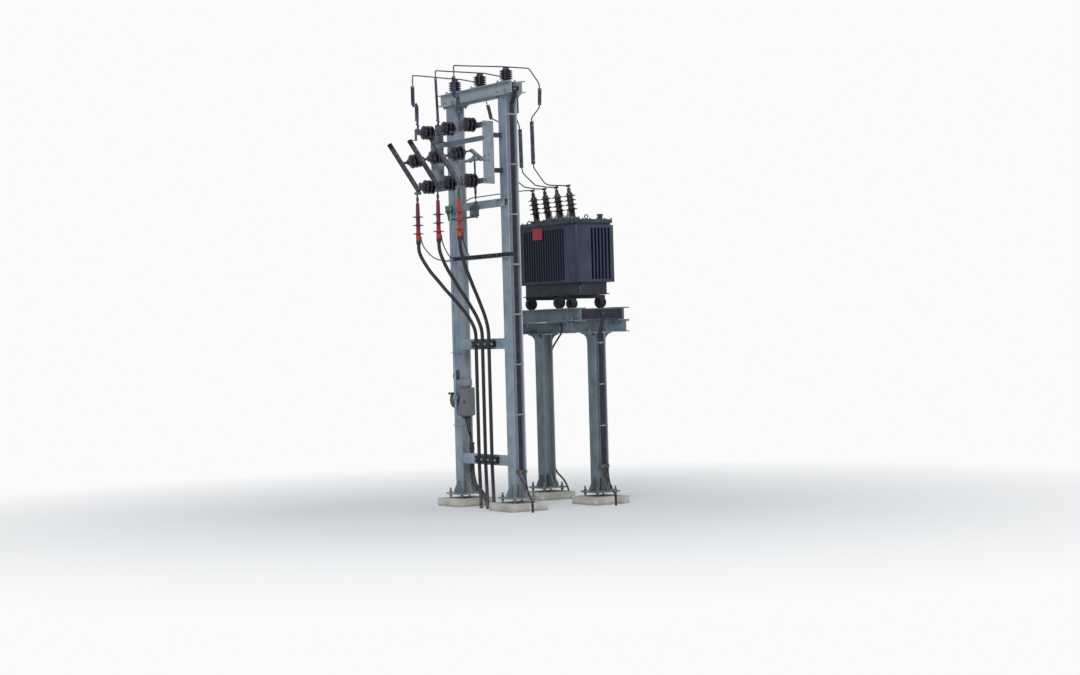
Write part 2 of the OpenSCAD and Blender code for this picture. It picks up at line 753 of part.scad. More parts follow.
module operating_box() {
    color("#a9a79c") translate([box_x0, box_y0, box_z0]) {
        cube([box_w, box_l, box_h]);
        translate([-4, 10, 10]) cube([4.01, box_l - 20, box_h - 22]);
        translate([-8, -4, box_h - 0.01]) cube([box_w + 8, box_l + 4, 4]);
        translate([12, 20, -10]) cube([box_w - 24, box_l - 40, 10.01]);
    }
}

conduit_x = 38;
conduit_y = col_pitch - 95;
conduit_r = 25;
conduit_top = box_z0 - 300;

module cable_conduit() {
    bend = smooth([[conduit_x, conduit_y, conduit_top], [conduit_x, conduit_y, conduit_top - 200],
        [conduit_x, conduit_y, 350], [conduit_x + 2, conduit_y - 50, 215],
        [conduit_x + 5, conduit_y - 160, 150],
        [conduit_x + 8, conduit_y - 260, 60], [conduit_x + 8, conduit_y - 280, 0]], 3);
    color("#2b2c30") {
        sweep(bend, conduit_r, 12);
        translate([conduit_x, conduit_y, conduit_top - 8]) cylinder(h = 14, r = conduit_r + 4);
        for (z = [conduit_top - 70, 440]) {
            translate([conduit_x, conduit_y, z]) cylinder(h = 24, r = conduit_r + 3);
            translate([half_col - 14, conduit_y, z]) cube([14, col_pitch - half_col - conduit_y, 24]);
        }
        for (i = [0, 1]) let (x = box_x0 + 60, y = box_y0 + 60 + i * 50)
            sweep(smooth([[x, y, box_z0 - 10 - gap], [x, y, box_z0 - 30], [x, y, box_z0 - 60],
                [x + 30, y + 30 - i * 10, box_z0 - 150],
                [conduit_x - 10, conduit_y - 10 + i * 18, conduit_top + 70],
                [conduit_x - 8 + i * 4, conduit_y - 9 + i * 18, conduit_top]], 3), 8, 8);
    }
}

module tube_guides() {
    column_y = col_pitch - half_col;
    color(steel_colour) {
        translate([box_x0 - 10, column_y - 8, box_z0 + box_h + 16]) cube([200, 8, 70]);
        for (z = [guide_z, bar_mid + 512]) {
            difference() {
                translate([tube_x - 26, tube_y - 26, z]) cube([-half_col - tube_x + 26, 52, 8]);
                translate([tube_x, tube_y, z - 1]) cylinder(h = 10, r = tube_r + 1);
            }
            translate([-half_col - 8, tube_y - 26, z - 23]) cube([8, col_pitch + 40 - tube_y, 23.01]);
        }
    }
}

riser_x = pivot_x + 25;
bushing_x = tank_x - 112;
bushing_y = [for (i = [-1.5:1:1.5]) tank_y + i * bushing_pitch];
bushing_lean = 8;
tip_x = bushing_x - bushing_len * sin(bushing_lean);
tip_z = cover_z + 12 + bushing_len * cos(bushing_lean);
lead_x = tip_x - 20 - gap;

// Shares of the way along X and of the drop, half width and half thickness: braid, two flats, rod
double_riser = [[1, 1, 10, 4], [1, 0.97, 10, 4], [1.01, 0.87, 10, 4], [1.013, 0.84, 21, 3],
    [1.013, 0.57, 21, 3],
    [1.09, 0.53, 21, 3], [1.09, 0.20, 21, 3], [1.09, 0.16, 7, 7], [1.09, 0.05, 7, 7], [1.05, 0.012, 7, 7],
    [0.12, 0, 7, 7]];
single_riser = [[1, 1, 10, 4], [1, 0.95, 14, 4], [1.03, 0.15, 14, 4], [1.03, 0.11, 7, 7], [1.03, 0.05, 7, 7],
    [0.99, 0.012, 7, 7], [0.12, 0, 7, 7]];
function riser(i, shape) = [for (f = shape)
    let (y = f[1] < 0.01 ? top_post_y[i] : pole_y[i])
        [riser_x * f[0], y, top_wire_z + (jaw_top - top_wire_z) * f[1], f[2], f[3]]];

// Shares of the way from the top insulator to the bushing along X, Y and Z, half width and half thickness
near_lead = [[0.06, 0, 0, 7, 7], [0.31, 0.03, 0, 7, 7], [0.335, 0.04, 0.008, 7, 7], [0.48, 0.15, 0.12, 7, 7],
    [0.498, 0.19, 0.175, 21, 3], [0.508, 0.28, 0.30, 21, 3], [0.505, 0.31, 0.325, 8, 5],
    [0.43, 0.50, 0.42, 8, 5],
    [0.445, 0.55, 0.475, 22, 4], [0.493, 0.80, 0.80, 22, 4], [0.505, 0.83, 0.845, 8, 6],
    [0.67, 0.91, 0.985, 7, 6],
    [0.74, 0.93, 1, 7, 6], [0.90, 1, 1, 7, 6], [1, 1, 1, 7, 6]];
mid_lead = [[0.06, 0, 0, 7, 7], [0.29, 0, 0.02, 7, 7], [0.48, 0, 0.13, 7, 7], [0.505, 0, 0.18, 21, 3],
    [0.51, 0, 0.34, 21, 3], [0.49, 0.1, 0.38, 8, 5], [0.53, 0.2, 0.45, 8, 5], [0.54, 0.25, 0.49, 22, 4],
    [0.54, 0.60, 0.83, 22, 4], [0.56, 0.64, 0.88, 8, 6], [0.73, 0.75, 0.985, 7, 6], [0.90, 1, 1, 7, 6],
    [1, 1, 1, 7, 6]];
far_lead = [[0.06, 0, 0, 7, 7], [0.29, 0.03, 0.02, 7, 7], [0.41, 0.10, 0.18, 7, 7], [0.43, 0.14, 0.23, 21, 3],
    [0.45, 0.26, 0.36, 21, 3], [0.53, 0.44, 0.39, 8, 5], [0.54, 0.50, 0.44, 22, 4], [0.54, 0.88, 0.80, 22, 4],
    [0.57, 0.92, 0.86, 8, 6], [0.66, 0.96, 0.94, 7, 6], [0.74, 0.98, 0.985, 7, 6], [0.90, 1, 1, 7, 6],
    [1, 1, 1, 7, 6]];
neutral_x = half_col + 14;
// Shares of the way from the far column to the bushing along X, of the drop and across
neutral = [[1, 0, 0], [0.9, 0, 0], [0.6, 0.04, 0.2], [0.1, 0.11, 0.85], [0, 0.17, 1], [0, 0.5, 1], [0, 1, 1]];
function lead(i, shape) = [for (f = shape)
    let (y = top_post_y[i] + (bushing_y[i] - top_post_y[i]) * f[1])
        [lead_x * f[0], y, top_wire_z + (tip_z - top_wire_z) * f[2], f[3], f[4]]];

module line_conductors() {
    color(copper_colour) {
        bar_sweep(concat(riser(0, double_riser), lead(0, near_lead)), 8);
        bar_sweep(concat(riser(1, single_riser), lead(1, mid_lead)), 8);
        bar_sweep(concat(riser(2, double_riser), lead(2, far_lead)), 8);
        sweep([for (f = neutral) [neutral_x + (lead_x - neutral_x) * f[0],
            bushing_y[3] + (col_pitch - bushing_y[3]) * f[2], tip_z + (angle_z - tip_z) * f[1]]], 6, 8);
        translate([half_col, col_pitch - 20, angle_z]) cube([22, 40, 24]);
    }
}

strip_t = 5;
strip_foot = 370;
earth_z = angle_z + 8;
earth_x = -half_col - 5 - strip_t;
gantry_strip_y = -half_col - clip_t;
strip_y = stand_y[0] - half_col - clip_t;
end_bar_y = stand_beam_y0 + 4;

module strip_on_column(x, y, top) {
    translate([x - strip_w / 2, y - half_col - clip_t - strip_t, strip_foot])
        cube([strip_w, strip_t, top - strip_foot]);
}

module earth_strips() {
    beam_strip_y = -saddle_l / 2 - 40;
    beam_z = gantry_h - beam_h;
    color(copper_colour) {
        strip_on_column(0, 0, column_top - 110);
        translate([-strip_w / 2, 0, 0]) rotate([90, 0, 90]) linear_extrude(strip_w) polygon([
            [gantry_strip_y, column_top - 111], [gantry_strip_y, column_top - 92],
            [beam_strip_y, column_top - 20],
            [beam_strip_y, beam_z + 70], [beam_strip_y - strip_t, beam_z + 70],
            [beam_strip_y - strip_t, column_top - 22],
            [gantry_strip_y - strip_t, column_top - 94], [gantry_strip_y - strip_t, column_top - 111]]);
        translate([-beam_gap / 2, beam_strip_y - 0.01, beam_z + 30]) cube([beam_gap, 8, 40]);
        strip_on_column(stand_x, stand_y[0], lower_z_stand - 30);
        translate([stand_x - strip_w / 2, 0, 0]) rotate([90, 0, 90]) linear_extrude(strip_w) polygon([
            [strip_y, lower_z_stand - 31], [strip_y, lower_z_stand - 12], [end_bar_y, stand_h - 130],
            [end_bar_y, stand_h - 28],
            [end_bar_y - strip_t, stand_h - 28], [end_bar_y - strip_t, stand_h - 129],
            [strip_y - strip_t, lower_z_stand - 11], [strip_y - strip_t, lower_z_stand - 31]]);
        translate([upper_beam_x[0] + 24, end_bar_y - 0.01, stand_h - 122])
            cube([upper_beam_x[1] - upper_beam_x[0] - 48, 6.01, 104]);
        translate([earth_x, -half_col - clip_t - strip_t, earth_z])
            cube([strip_t, col_pitch + col_size - 20, 40]);
        translate([earth_x, -half_col - clip_t - strip_t, earth_z])
            cube([-earth_x - strip_w / 2 + 1, strip_t, 40]);
    }
}

clamp_z = strip_foot + 25;

module earth_clamps() {
    color("#8a6a3c") for (p = [[0, 0], [stand_x, stand_y[0]]])
        translate([p[0] - 60, p[1] - half_col - clip_t - strip_t - 14, clamp_z - 20]) {
            cube([120, 14, 40]);
            for (x = [-40, 30]) translate([x + 46, -16, -0.01]) cube([28, 16.01, 24]);
        }
}

// Offsets from the clamp of the lead that runs to the ground and of the one to the base plate
ground_path = [[-40, 0, 0], [-40, 0, -6], [-40, 0, -12], [-42, -24, -40], [-46, -90, -90],
    [-54, -186, -180], [-64, -262, -280],
    [-66, -276, -350]];
plate_path = [[30, 0, 0], [30, 0, -8], [30, 0, -20], [34, -12, -90], [38, -26, -160], [40, -30, -220]];

// Shares of the way of the lead from a termination to the earth bar
bar_path = [[0, 0, 0], [0, 0, 0.1], [0.012, 0.01, 0.2], [0.09, 0.08, 0.5], [0.3, 0.28, 0.86],
    [0.5, 0.5, 1.02],
    [0.8, 0.82, 1.08], [0.93, 1, 1], [0.965, 1, 1], [1, 1, 1]];

module earth_leads() {
    term_r = 26;
    lead_r = 6;
    bar_y = [mid_y + 40, mid_y + 355, col_pitch - 20];
    color("#3d2c33") {
        for (i = [0:2])
            let (a = [term_x + term_r + gap * 2 + lead_r, pole_y[i], term_bottom + 80],
                d = [earth_x - gap, bar_y[i], earth_z + 20] - a)
                    sweep(smooth([for (f = bar_path) a + [d[0] * f[0], d[1] * f[1], d[2] * f[2]]], 3), lead_r, 8);
        for (p = [[0, 0], [stand_x, stand_y[0]]])
            let (c = [p[0], p[1] - half_col - clip_t - strip_t - 22, clamp_z - 20 - gap]) {
                sweep(smooth([for (o = ground_path) c + o], 3), 7, 8);
                translate([c[0] - 66, c[1] - 276, 0]) cylinder(h = 110, r = 12);
                sweep(smooth([for (o = plate_path) c + o], 3), 7, 8);
            }
    }
}

flare = 80;
outer = flare + 8;

module stand_columns() {
    color(steel_colour) {
        translate([stand_x, stand_y[0], 0]) strip_clips([for (i = [0:2]) lower_z_stand - 110 - i * 435]);
        for (y = stand_y) translate([stand_x, y, 0]) {
            translate([0, 0, column_foot - 0.01])
                h_bar(lower_z_stand - column_foot + 0.01, col_size, col_size, col_flange, col_web);
            column_foot_plate(col_size);
            translate([-flare - half_col, -half_col, lower_z_stand - 12])
                cube([(flare + half_col) * 2, col_size, 12]);
            for (a = [0, 180]) rotate([0, 0, a]) translate([half_col, 0, lower_z_stand - 12])
                rotate([90, 0, 0]) {
                translate([0, 0, -half_col]) linear_extrude(col_size) polygon(concat(
                    [for (f = [0:15:90]) [flare * (1 - cos(f)), flare * (sin(f) - 1)]],
                    [for (f = [90:-15:0]) [outer * (1 - cos(f)) - 8.01, outer * (sin(f) - 1) + 8.01]]));
                translate([0, 0, -4]) linear_extrude(8) polygon(concat([[-0.01, 0.01], [-0.01, -flare]],
                    [for (f = [0:15:90]) [flare * (1 - cos(f)) - 2, flare * (sin(f) - 1) + 2]],
                    [[flare, 0.01]]));
            }
        }
    }
}

low_beam_x0 = stand_x - 310;
low_beam_x1 = stand_x + 390;

module stand_lower_beams() {
    color(steel_colour) for (y = stand_y) translate([low_beam_x0, y, lower_z_stand + lower_beam_h / 2])
        rotate([0, 90, 0]) h_bar(low_beam_x1 - low_beam_x0, lower_beam_h, 120, 11, 7);
}

module stand_upper_beams() {
    color(steel_colour) for (x = upper_beam_x) translate([x, stand_beam_y1, stand_h - upper_beam_h / 2])
        rotate([90, 0, 0]) rotate([0, 0, 90]) h_bar(stand_beam_y1 - stand_beam_y0, upper_beam_h, 140, 12, 7);
}

module stand_end_channels() {
    span = upper_beam_x[1] - upper_beam_x[0] - 7;
    depth = upper_beam_h - 24;
    color(steel_colour) translate([upper_beam_x[0] + 3.5, 0, stand_h - 12 - depth]) {
        for (y = [stand_beam_y0 + 10, stand_beam_y1 - 10]) translate([0, y, 0])
            scale([1, y > mid_y ? -1 : 1, 1])
            difference() {
                cube([span, 45, depth]);
                translate([-1, 7, 9]) cube([span + 2, 45, depth - 18]);
            }
    }
}

// Slots between the fins, cut into the wall that faces -Y
module slots(x0, count, pitch, wall_y, fin_h) {
    fin_depth = 90;
    for (i = [0:count - 1]) translate([x0 + i * pitch, wall_y - 1, 30])
        cube([pitch * 0.6, fin_depth + 1, fin_h - 60]);
}

tank_w = cover_w + 5;
tank_l = cover_l - 30;
tank_shift = 12;
lid_t = 12;
rim_h = 40;
neck_h = 20;

module transformer_tank() {
    fin_h = tank_h - rim_h + lid_t - neck_h;
    end_pitch = tank_w / 11.6;
    side_pitch = tank_l / 24.5;
    color("#343d49") {
        translate([tank_x + tank_shift, tank_y, tank_z0]) difference() {
            rounded_block(tank_w, tank_l, fin_h, 40);
            for (m = [0, 1]) mirror([0, m, 0])
                slots(-tank_w * 0.09 - tank_shift, 6, end_pitch, -tank_l / 2, fin_h);
            for (m = [0, 1]) mirror([m, 0, 0]) rotate([0, 0, -90])
                slots(-tank_l * 0.375, 17, side_pitch, -tank_w / 2, fin_h);
        }
        translate([tank_x, tank_y, tank_z0 + fin_h - 0.01])
            rounded_block(cover_w - 44, cover_l - 44, neck_h + 0.01, 28);
    }
}

module lifting_ring() {
    rotate([90, 0, 0]) rotate_extrude() translate([21, 0]) circle(r = 6);
}

module transformer_cover() {
    color("#2c333d") translate([tank_x, tank_y, cover_z]) {
        translate([0, 0, lid_t - rim_h]) {
            translate([0, 0, 7.99]) rounded_block(cover_w, cover_l, rim_h - 15.98, 49);
            for (z = [0, rim_h - 8]) translate([0, 0, z]) rounded_block(cover_w - 10, cover_l - 10, 8, 44);
        }
        for (sx = [-1, 1], sy = [-1, 1])
            translate([sx * cover_w * 0.17, sy * (cover_l / 2 - 33), lid_t + 24]) lifting_ring();
        translate([cover_w * 0.3, -cover_l * 0.4, lid_t - 0.01]) cylinder(h = 46, r = 28);
        translate([cover_w * 0.3, -cover_l * 0.4, lid_t + 45.9]) cylinder(h = 14, r = 34);
        for (sy = [-1, 1]) translate([-cover_w * 0.43, sy * cover_l * 0.1 - 20, lid_t - 0.01])
            cube([30, 40, 22]);
    }
}

carrier_y = [tank_y - 275, tank_y + 275];
carrier_h = 36;
roller_x = [upper_beam_x[0] + 25, upper_beam_x[1]];
carrier_x0 = upper_beam_x[0] - 20;
carrier_len = upper_beam_x[1] - upper_beam_x[0] + 60;
base_gap = base_bottom - stand_h;

module transformer_base() {
    skirt = tank_z0 - base_bottom;
    base_w = cover_w * 0.72;
    base_l = tank_l * 0.94;
    color("#272d36") {
        translate([tank_x, tank_y, base_bottom]) {
            rounded_block(base_w, base_l, skirt, 30);
            rounded_block(base_w + 50, base_l + 30, 10, 30);
        }
        for (y = carrier_y) translate([carrier_x0, y, stand_h]) {
            difference() {
                translate([0, -35, base_gap - carrier_h]) cube([carrier_len, 70, carrier_h]);
                translate([-1, -29, base_gap - carrier_h - 1]) cube([carrier_len + 2, 58, carrier_h - 5]);
            }
            for (x = roller_x, s = [-1, 1]) translate([x - carrier_x0, s * 32 + 3, 0]) rotate([90, 0, 0])
                difference() {
                    translate([-30, roller_r - 22, 0]) cube([60, base_gap - roller_r + 20, 6]);
                    translate([0, roller_r, -1]) cylinder(h = 8, r = pin_r + gap);
                }
        }
    }
}

module transformer_rollers() {
    color("#2a2a2c") for (x = roller_x, y = carrier_y) translate([x, y, stand_h + roller_r])
        rotate([90, 0, 0]) {
        difference() {
            cylinder(h = 46, r = roller_r, center = true);
            for (s = [-1, 1]) translate([0, 0, s * 23]) cylinder(h = 14, r = roller_r - 12, center = true);
        }
        cylinder(h = 46, r = 22, center = true);
        cylinder(h = 82, r = pin_r, center = true);
    }
}

module bushing(len, count, pitch, edge, core, foot_share) {
    flange = 14;
    foot_h = (len - count * pitch) * foot_share;
    rotate_extrude() polygon(concat(
        [[0, 0], [core + flange, 0], [core + flange, 14], [core + 6, 20]],
        shed_row(count, foot_h, pitch, core, edge),
        [[core, foot_h + count * pitch + 6], [core * 0.62, foot_h + count * pitch + 14],
        [core * 0.62, len - 52],
            [core * 0.4, len - 48], [core * 0.4, len - 24], [8, len - 22], [8, len], [0, len]]));
}

module high_voltage_bushings() {
    block = 24;
    color(glaze_colour) for (y = bushing_y) translate([bushing_x, y, cover_z + lid_t]) difference() {
        union() {
            rotate([0, -bushing_lean, 0]) translate([0, 0, -12])
                bushing(bushing_len + 12, 4, 48, 66, 42, 0.56);
            translate([tip_x - bushing_x - 20, -16, tip_z - cover_z - lid_t - block / 2])
                cube([40, 32, block]);
        }
        translate([-100, -100, -60]) cube([200, 200, 60]);
    }
}

module low_voltage_bushings() {
    low_pitch = 112;
    color("#b9b4a4") for (i = [1:4]) translate([tank_x + cover_w * 0.27, tank_y + i * low_pitch, cover_z + lid_t])
        bushing(low_bushing_len, 2, 30, 44, 28, 0.2);
}

foundation_pads();
anchor_bolts();
gantry_columns();
gantry_beam();
beam_saddles();
top_post_insulators();
upper_cross_channel();
earth_bar_angle();
cable_crossbars();
cable_clamps();
power_cables();
cable_terminations();
switch_side_plates();
switch_insulator_tubes();
switch_stiffener();
switch_brackets();
upper_row_insulators();
lower_row_insulators();
contact_jaws();
hinge_terminals();
switch_blades();
drive_insulators();
drive_shaft();
upper_rod();
near_bell_crank();
link_rod();
far_bell_crank();
operating_tube();
hand_wheel();
crank_brackets();
operating_box();
cable_conduit();
tube_guides();
line_conductors();
earth_strips();
earth_clamps();
earth_leads();
stand_columns();
stand_lower_beams();
stand_upper_beams();
stand_end_channels();
transformer_tank();
transformer_cover();
transformer_base();
transformer_rollers();
high_voltage_bushings();
low_voltage_bushings();
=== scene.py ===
import math

import bmesh
import bpy
from mathutils import Matrix, Vector


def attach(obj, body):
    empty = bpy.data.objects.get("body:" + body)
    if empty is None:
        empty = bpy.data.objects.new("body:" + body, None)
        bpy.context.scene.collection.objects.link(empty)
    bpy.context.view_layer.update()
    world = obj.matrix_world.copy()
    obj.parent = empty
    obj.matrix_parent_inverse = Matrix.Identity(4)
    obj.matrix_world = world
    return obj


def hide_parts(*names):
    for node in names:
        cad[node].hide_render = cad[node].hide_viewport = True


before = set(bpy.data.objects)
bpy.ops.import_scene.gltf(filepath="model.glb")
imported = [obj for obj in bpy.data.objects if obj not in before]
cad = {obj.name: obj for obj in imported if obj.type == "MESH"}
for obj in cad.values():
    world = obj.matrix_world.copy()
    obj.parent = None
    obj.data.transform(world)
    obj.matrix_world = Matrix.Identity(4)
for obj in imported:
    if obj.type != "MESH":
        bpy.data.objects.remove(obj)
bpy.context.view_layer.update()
bpy.context.scene.view_settings.view_transform = "Standard"

# ---------------------------------------------------------------------------
# Places on the bay, in millimetres: X from the switch to the transformer,
# Y along the gantry beam, Z up
# ---------------------------------------------------------------------------

mm = 0.001
up, down = (0, 0, 1), (0, 0, -1)
to_switch, to_near, to_far = (-1, 0, 0), (0, -1, 0), (0, 1, 0)

# Gantry. A face is where the bolts of a joint lie, flange faces are an upper and a lower one
column_y = (0, 1050)
beam_flange_faces, post_foot_top = (4264, 4243), 4385
top_post_y, top_wire_z = (10, 525, 1040), 4538.3
cross_channel_face, cross_channel_z = -115, 3168
clamp_face, clamp_bolt_y, clamp_z = -111, (250, 386, 514, 650), (508, 1708)
earth_bar_face, earth_bar_z = -80, 2618
earth_bar_bolt_y = (150, 290, 430, 565, 720, 880, 1030)
strip_y, clip_heights = -78, [4047 - 511.2 * i for i in range(7)]
earth_clamp_z, neutral_clip_x, neutral_foot_z = 395, 84, 2590

# Switch: one pole for each phase, between two side plates with a tube for each row. Places on
# a blade are distances from its hinge
pole_y = (100, 525, 950)
side_plates = ((-6, to_near), (1056, to_far))
upper_row_z, lower_row_z, tube_x = 3943, 3373, -284
stiffener_x, stiffener_z = -297, 3804
terminal_face, riser_x, jaw_top = -509, -520, 3981
pivot_x, pivot_z, blade_lean = -545, 3353, math.radians(35)
blade_pins, blade_spacer, burnt_from = (0, 315), 435, 508
lug_face, lug_z = -567, 3304
shaft_x, shaft_z, arm_tip = -270, 3600, (-381.6, 3680.2)
drive_pin, link_lean = (-725.7, 3611.0), math.radians(11.366)

# Hand drive: axle ends of both cranks and the wheel, lock, and bracket bolts as Y and Z
axle_ends = ((-205.4, 465.8, 3120), (-162, 1011.2, 3120), (-147, 1006, 1125))
key_lock_foot = (-70, 1034, 1380)
bracket_face, near_bracket = -121, ((465.8, 3050), (560, 3050), (560, 3135))
far_bracket_y, far_bracket_z = 1011, (3165, 3096)
guide_face, guide_bolt_y, guide_z = -78, (915, 1000, 1072), (846, 1609)
box_face, box_y, box_foot, box_top = -122, (784, 980), 962, 1252

# Stand and transformer
stand_x, stand_y = 1050, (43, 1063)
upper_beam_x, beam_joint_faces, column_joint_faces = (770, 1320), (1932, 1909), (1811, 1788)
stand_strip_y, stand_clip_heights = -35, (1690, 1255, 820)
saddle_x, saddle_y, saddle_heights = 1133, 1056, (1380, 900, 460)
tank_x, tank_y, cover_top = 1062, 617, 2992
bushing_x, bushing_y, bushing_lean = 950, (267.5, 500.5, 733.5, 966.5), math.radians(8)
lead_x, tip_z = 878.5, 3356.4
red_plate_size, red_plate_centre = (6, 185, 125), (821, 772, 2872)


def at(x, y, z):
    """A point of the bay, or a size, given in millimetres."""
    return Vector((x, y, z)) * mm


def leaning(lean):
    """The direction of a bar that leans from upright towards the switch."""
    return (-math.sin(lean), 0, math.cos(lean))


def reach(way, x, z):
    """How far a point lies along way, in millimetres."""
    return x * way[0] + z * way[2]


# ---------------------------------------------------------------------------
# Camera, light and floor
# ---------------------------------------------------------------------------

def linear(code):
    """sRGB hex colour to the linear values that a shader takes."""
    parts = [int(code[i:i + 2], 16) / 255 for i in (1, 3, 5)]
    return tuple(c / 12.92 if c <= 0.04045 else ((c + 0.055) / 1.055) ** 2.4 for c in parts) + (1,)


def feed(tree, node, feeds):
    """Values are written on the node's inputs, sockets of other nodes are linked to them."""
    for name, value in feeds.items():
        if isinstance(value, bpy.types.NodeSocket):
            tree.links.new(value, node.inputs[name])
        else:
            node.inputs[name].default_value = value


def add(tree, kind, feeds=None, **settings):
    """One node with its settings and links."""
    made = tree.nodes.new(kind)
    for name, value in settings.items():
        setattr(made, name, value)
    feed(tree, made, feeds or {})
    return made


def stand_camera_where_the_picture_was_taken():
    """The fit to the straight edges of both bays, with its place in metres."""
    yaw, pitch, roll = (math.radians(angle) for angle in (32.806, 0.106, -1.579))
    eye, focal_mm, sensor_mm, sight_m = (-11.3632, -18.1240, 1.72), 69.69, 36, 400
    level = Vector((math.cos(yaw), -math.sin(yaw), 0))
    ahead = Vector((math.sin(yaw) * math.cos(pitch), math.cos(yaw) * math.cos(pitch),
                    math.sin(pitch)))
    right = level * math.cos(roll) + level.cross(ahead) * math.sin(roll)
    lens = bpy.data.cameras.new("picture_camera")
    lens.lens, lens.sensor_width, lens.clip_end = focal_mm, sensor_mm, sight_m
    camera = bpy.data.objects.new("picture_camera", lens)
    turn = Matrix((right, right.cross(ahead), -ahead)).transposed().to_4x4()
    camera.matrix_world = Matrix.Translation(Vector(eye)) @ turn
    bpy.context.scene.collection.objects.link(camera)
    bpy.context.scene.camera = camera


def hang_soft_lamp(name, place, aim, size, power):
    """A square lamp at a place in metres, turned to the point it aims at, power in watts."""
    lamp = bpy.data.lights.new(name, "AREA")
    lamp.shape, lamp.size, lamp.energy = "SQUARE", size, power
    holder = bpy.data.objects.new(name, lamp)
    turn = (Vector(aim) - Vector(place)).to_track_quat("-Z", "Y").to_matrix().to_4x4()
    holder.matrix_world = Matrix.Translation(Vector(place)) @ turn
    bpy.context.scene.collection.objects.link(holder)


def light_the_studio():
    world = bpy.data.worlds.new("studio_air")
    bpy.context.scene.world = world
    world.use_nodes = True
    tree = world.node_tree
    tree.nodes.clear()
    # The camera sees a white backdrop, while the bay is lit by softer air
    ray = add(tree, "ShaderNodeLightPath").outputs
    seen = add(tree, "ShaderNodeMath", {0: ray["Is Camera Ray"], 1: ray["Is Transmission Ray"]},
               operation="MAXIMUM")
    soft = add(tree, "ShaderNodeBackground", {"Color": linear("#dfe6ee"), "Strength": 0.70})
    backdrop = add(tree, "ShaderNodeBackground", {"Color": linear("#fbfbfb"), "Strength": 1.0})
    both = add(tree, "ShaderNodeMixShader",
               {0: seen.outputs[0], 1: soft.outputs[0], 2: backdrop.outputs[0]})
    add(tree, "ShaderNodeOutputWorld", {"Surface": both.outputs[0]})
    hang_soft_lamp("key_lamp", (-12, -11.5, 13), (0.4, 0.5, 2.2), size=8, power=1450)
    hang_soft_lamp("fill_lamp", (13, -9, 7), (0.6, 0.5, 2.0), size=8, power=300)


def lay_floor():
    fresh()
    bpy.ops.mesh.primitive_plane_add(size=240, location=(0, 0, -0.0005))
    floor = bpy.context.object
    floor.name = "studio_floor"
    pale = bpy.data.materials.new("pale_studio_floor")
    pale.use_nodes = True
    tree = pale.node_tree
    tree.nodes.clear()
    # Far from the bay the floor fades into the backdrop, near it the shadow stays
    ray = add(tree, "ShaderNodeLightPath").outputs
    place = add(tree, "ShaderNodeTexCoord").outputs["Object"]
    far = add(tree, "ShaderNodeVectorMath", {0: place}, operation="LENGTH").outputs["Value"]
    fade = add(tree, "ShaderNodeMapRange", {"Value": far, "From Min": 2.2, "From Max": 8.0})
    seen = add(tree, "ShaderNodeMath", {0: fade.outputs[0], 1: ray["Is Camera Ray"]},
               operation="MULTIPLY")
    paint = add(tree, "ShaderNodeBsdfDiffuse", {"Color": linear("#efefee")})
    white = add(tree, "ShaderNodeEmission", {"Color": linear("#fbfbfb"), "Strength": 1.0})
    both = add(tree, "ShaderNodeMixShader",
               {0: seen.outputs[0], 1: paint.outputs[0], 2: white.outputs[0]})
    add(tree, "ShaderNodeOutputMaterial", {"Surface": both.outputs[0]})
    floor.data.materials.append(pale)


def deselect():
    """Nothing selected in the present mode, so that an operator acts on what is new alone."""
    mode = bpy.ops.mesh if bpy.context.mode == "EDIT_MESH" else bpy.ops.object
    mode.select_all(action="DESELECT")


def fresh():
    """Object mode with nothing selected."""
    if bpy.context.mode == "EDIT_MESH":
        bpy.ops.object.mode_set(mode="OBJECT")
    deselect()


stand_camera_where_the_picture_was_taken()
light_the_studio()
lay_floor()


# ---------------------------------------------------------------------------
# Finishes
# ---------------------------------------------------------------------------

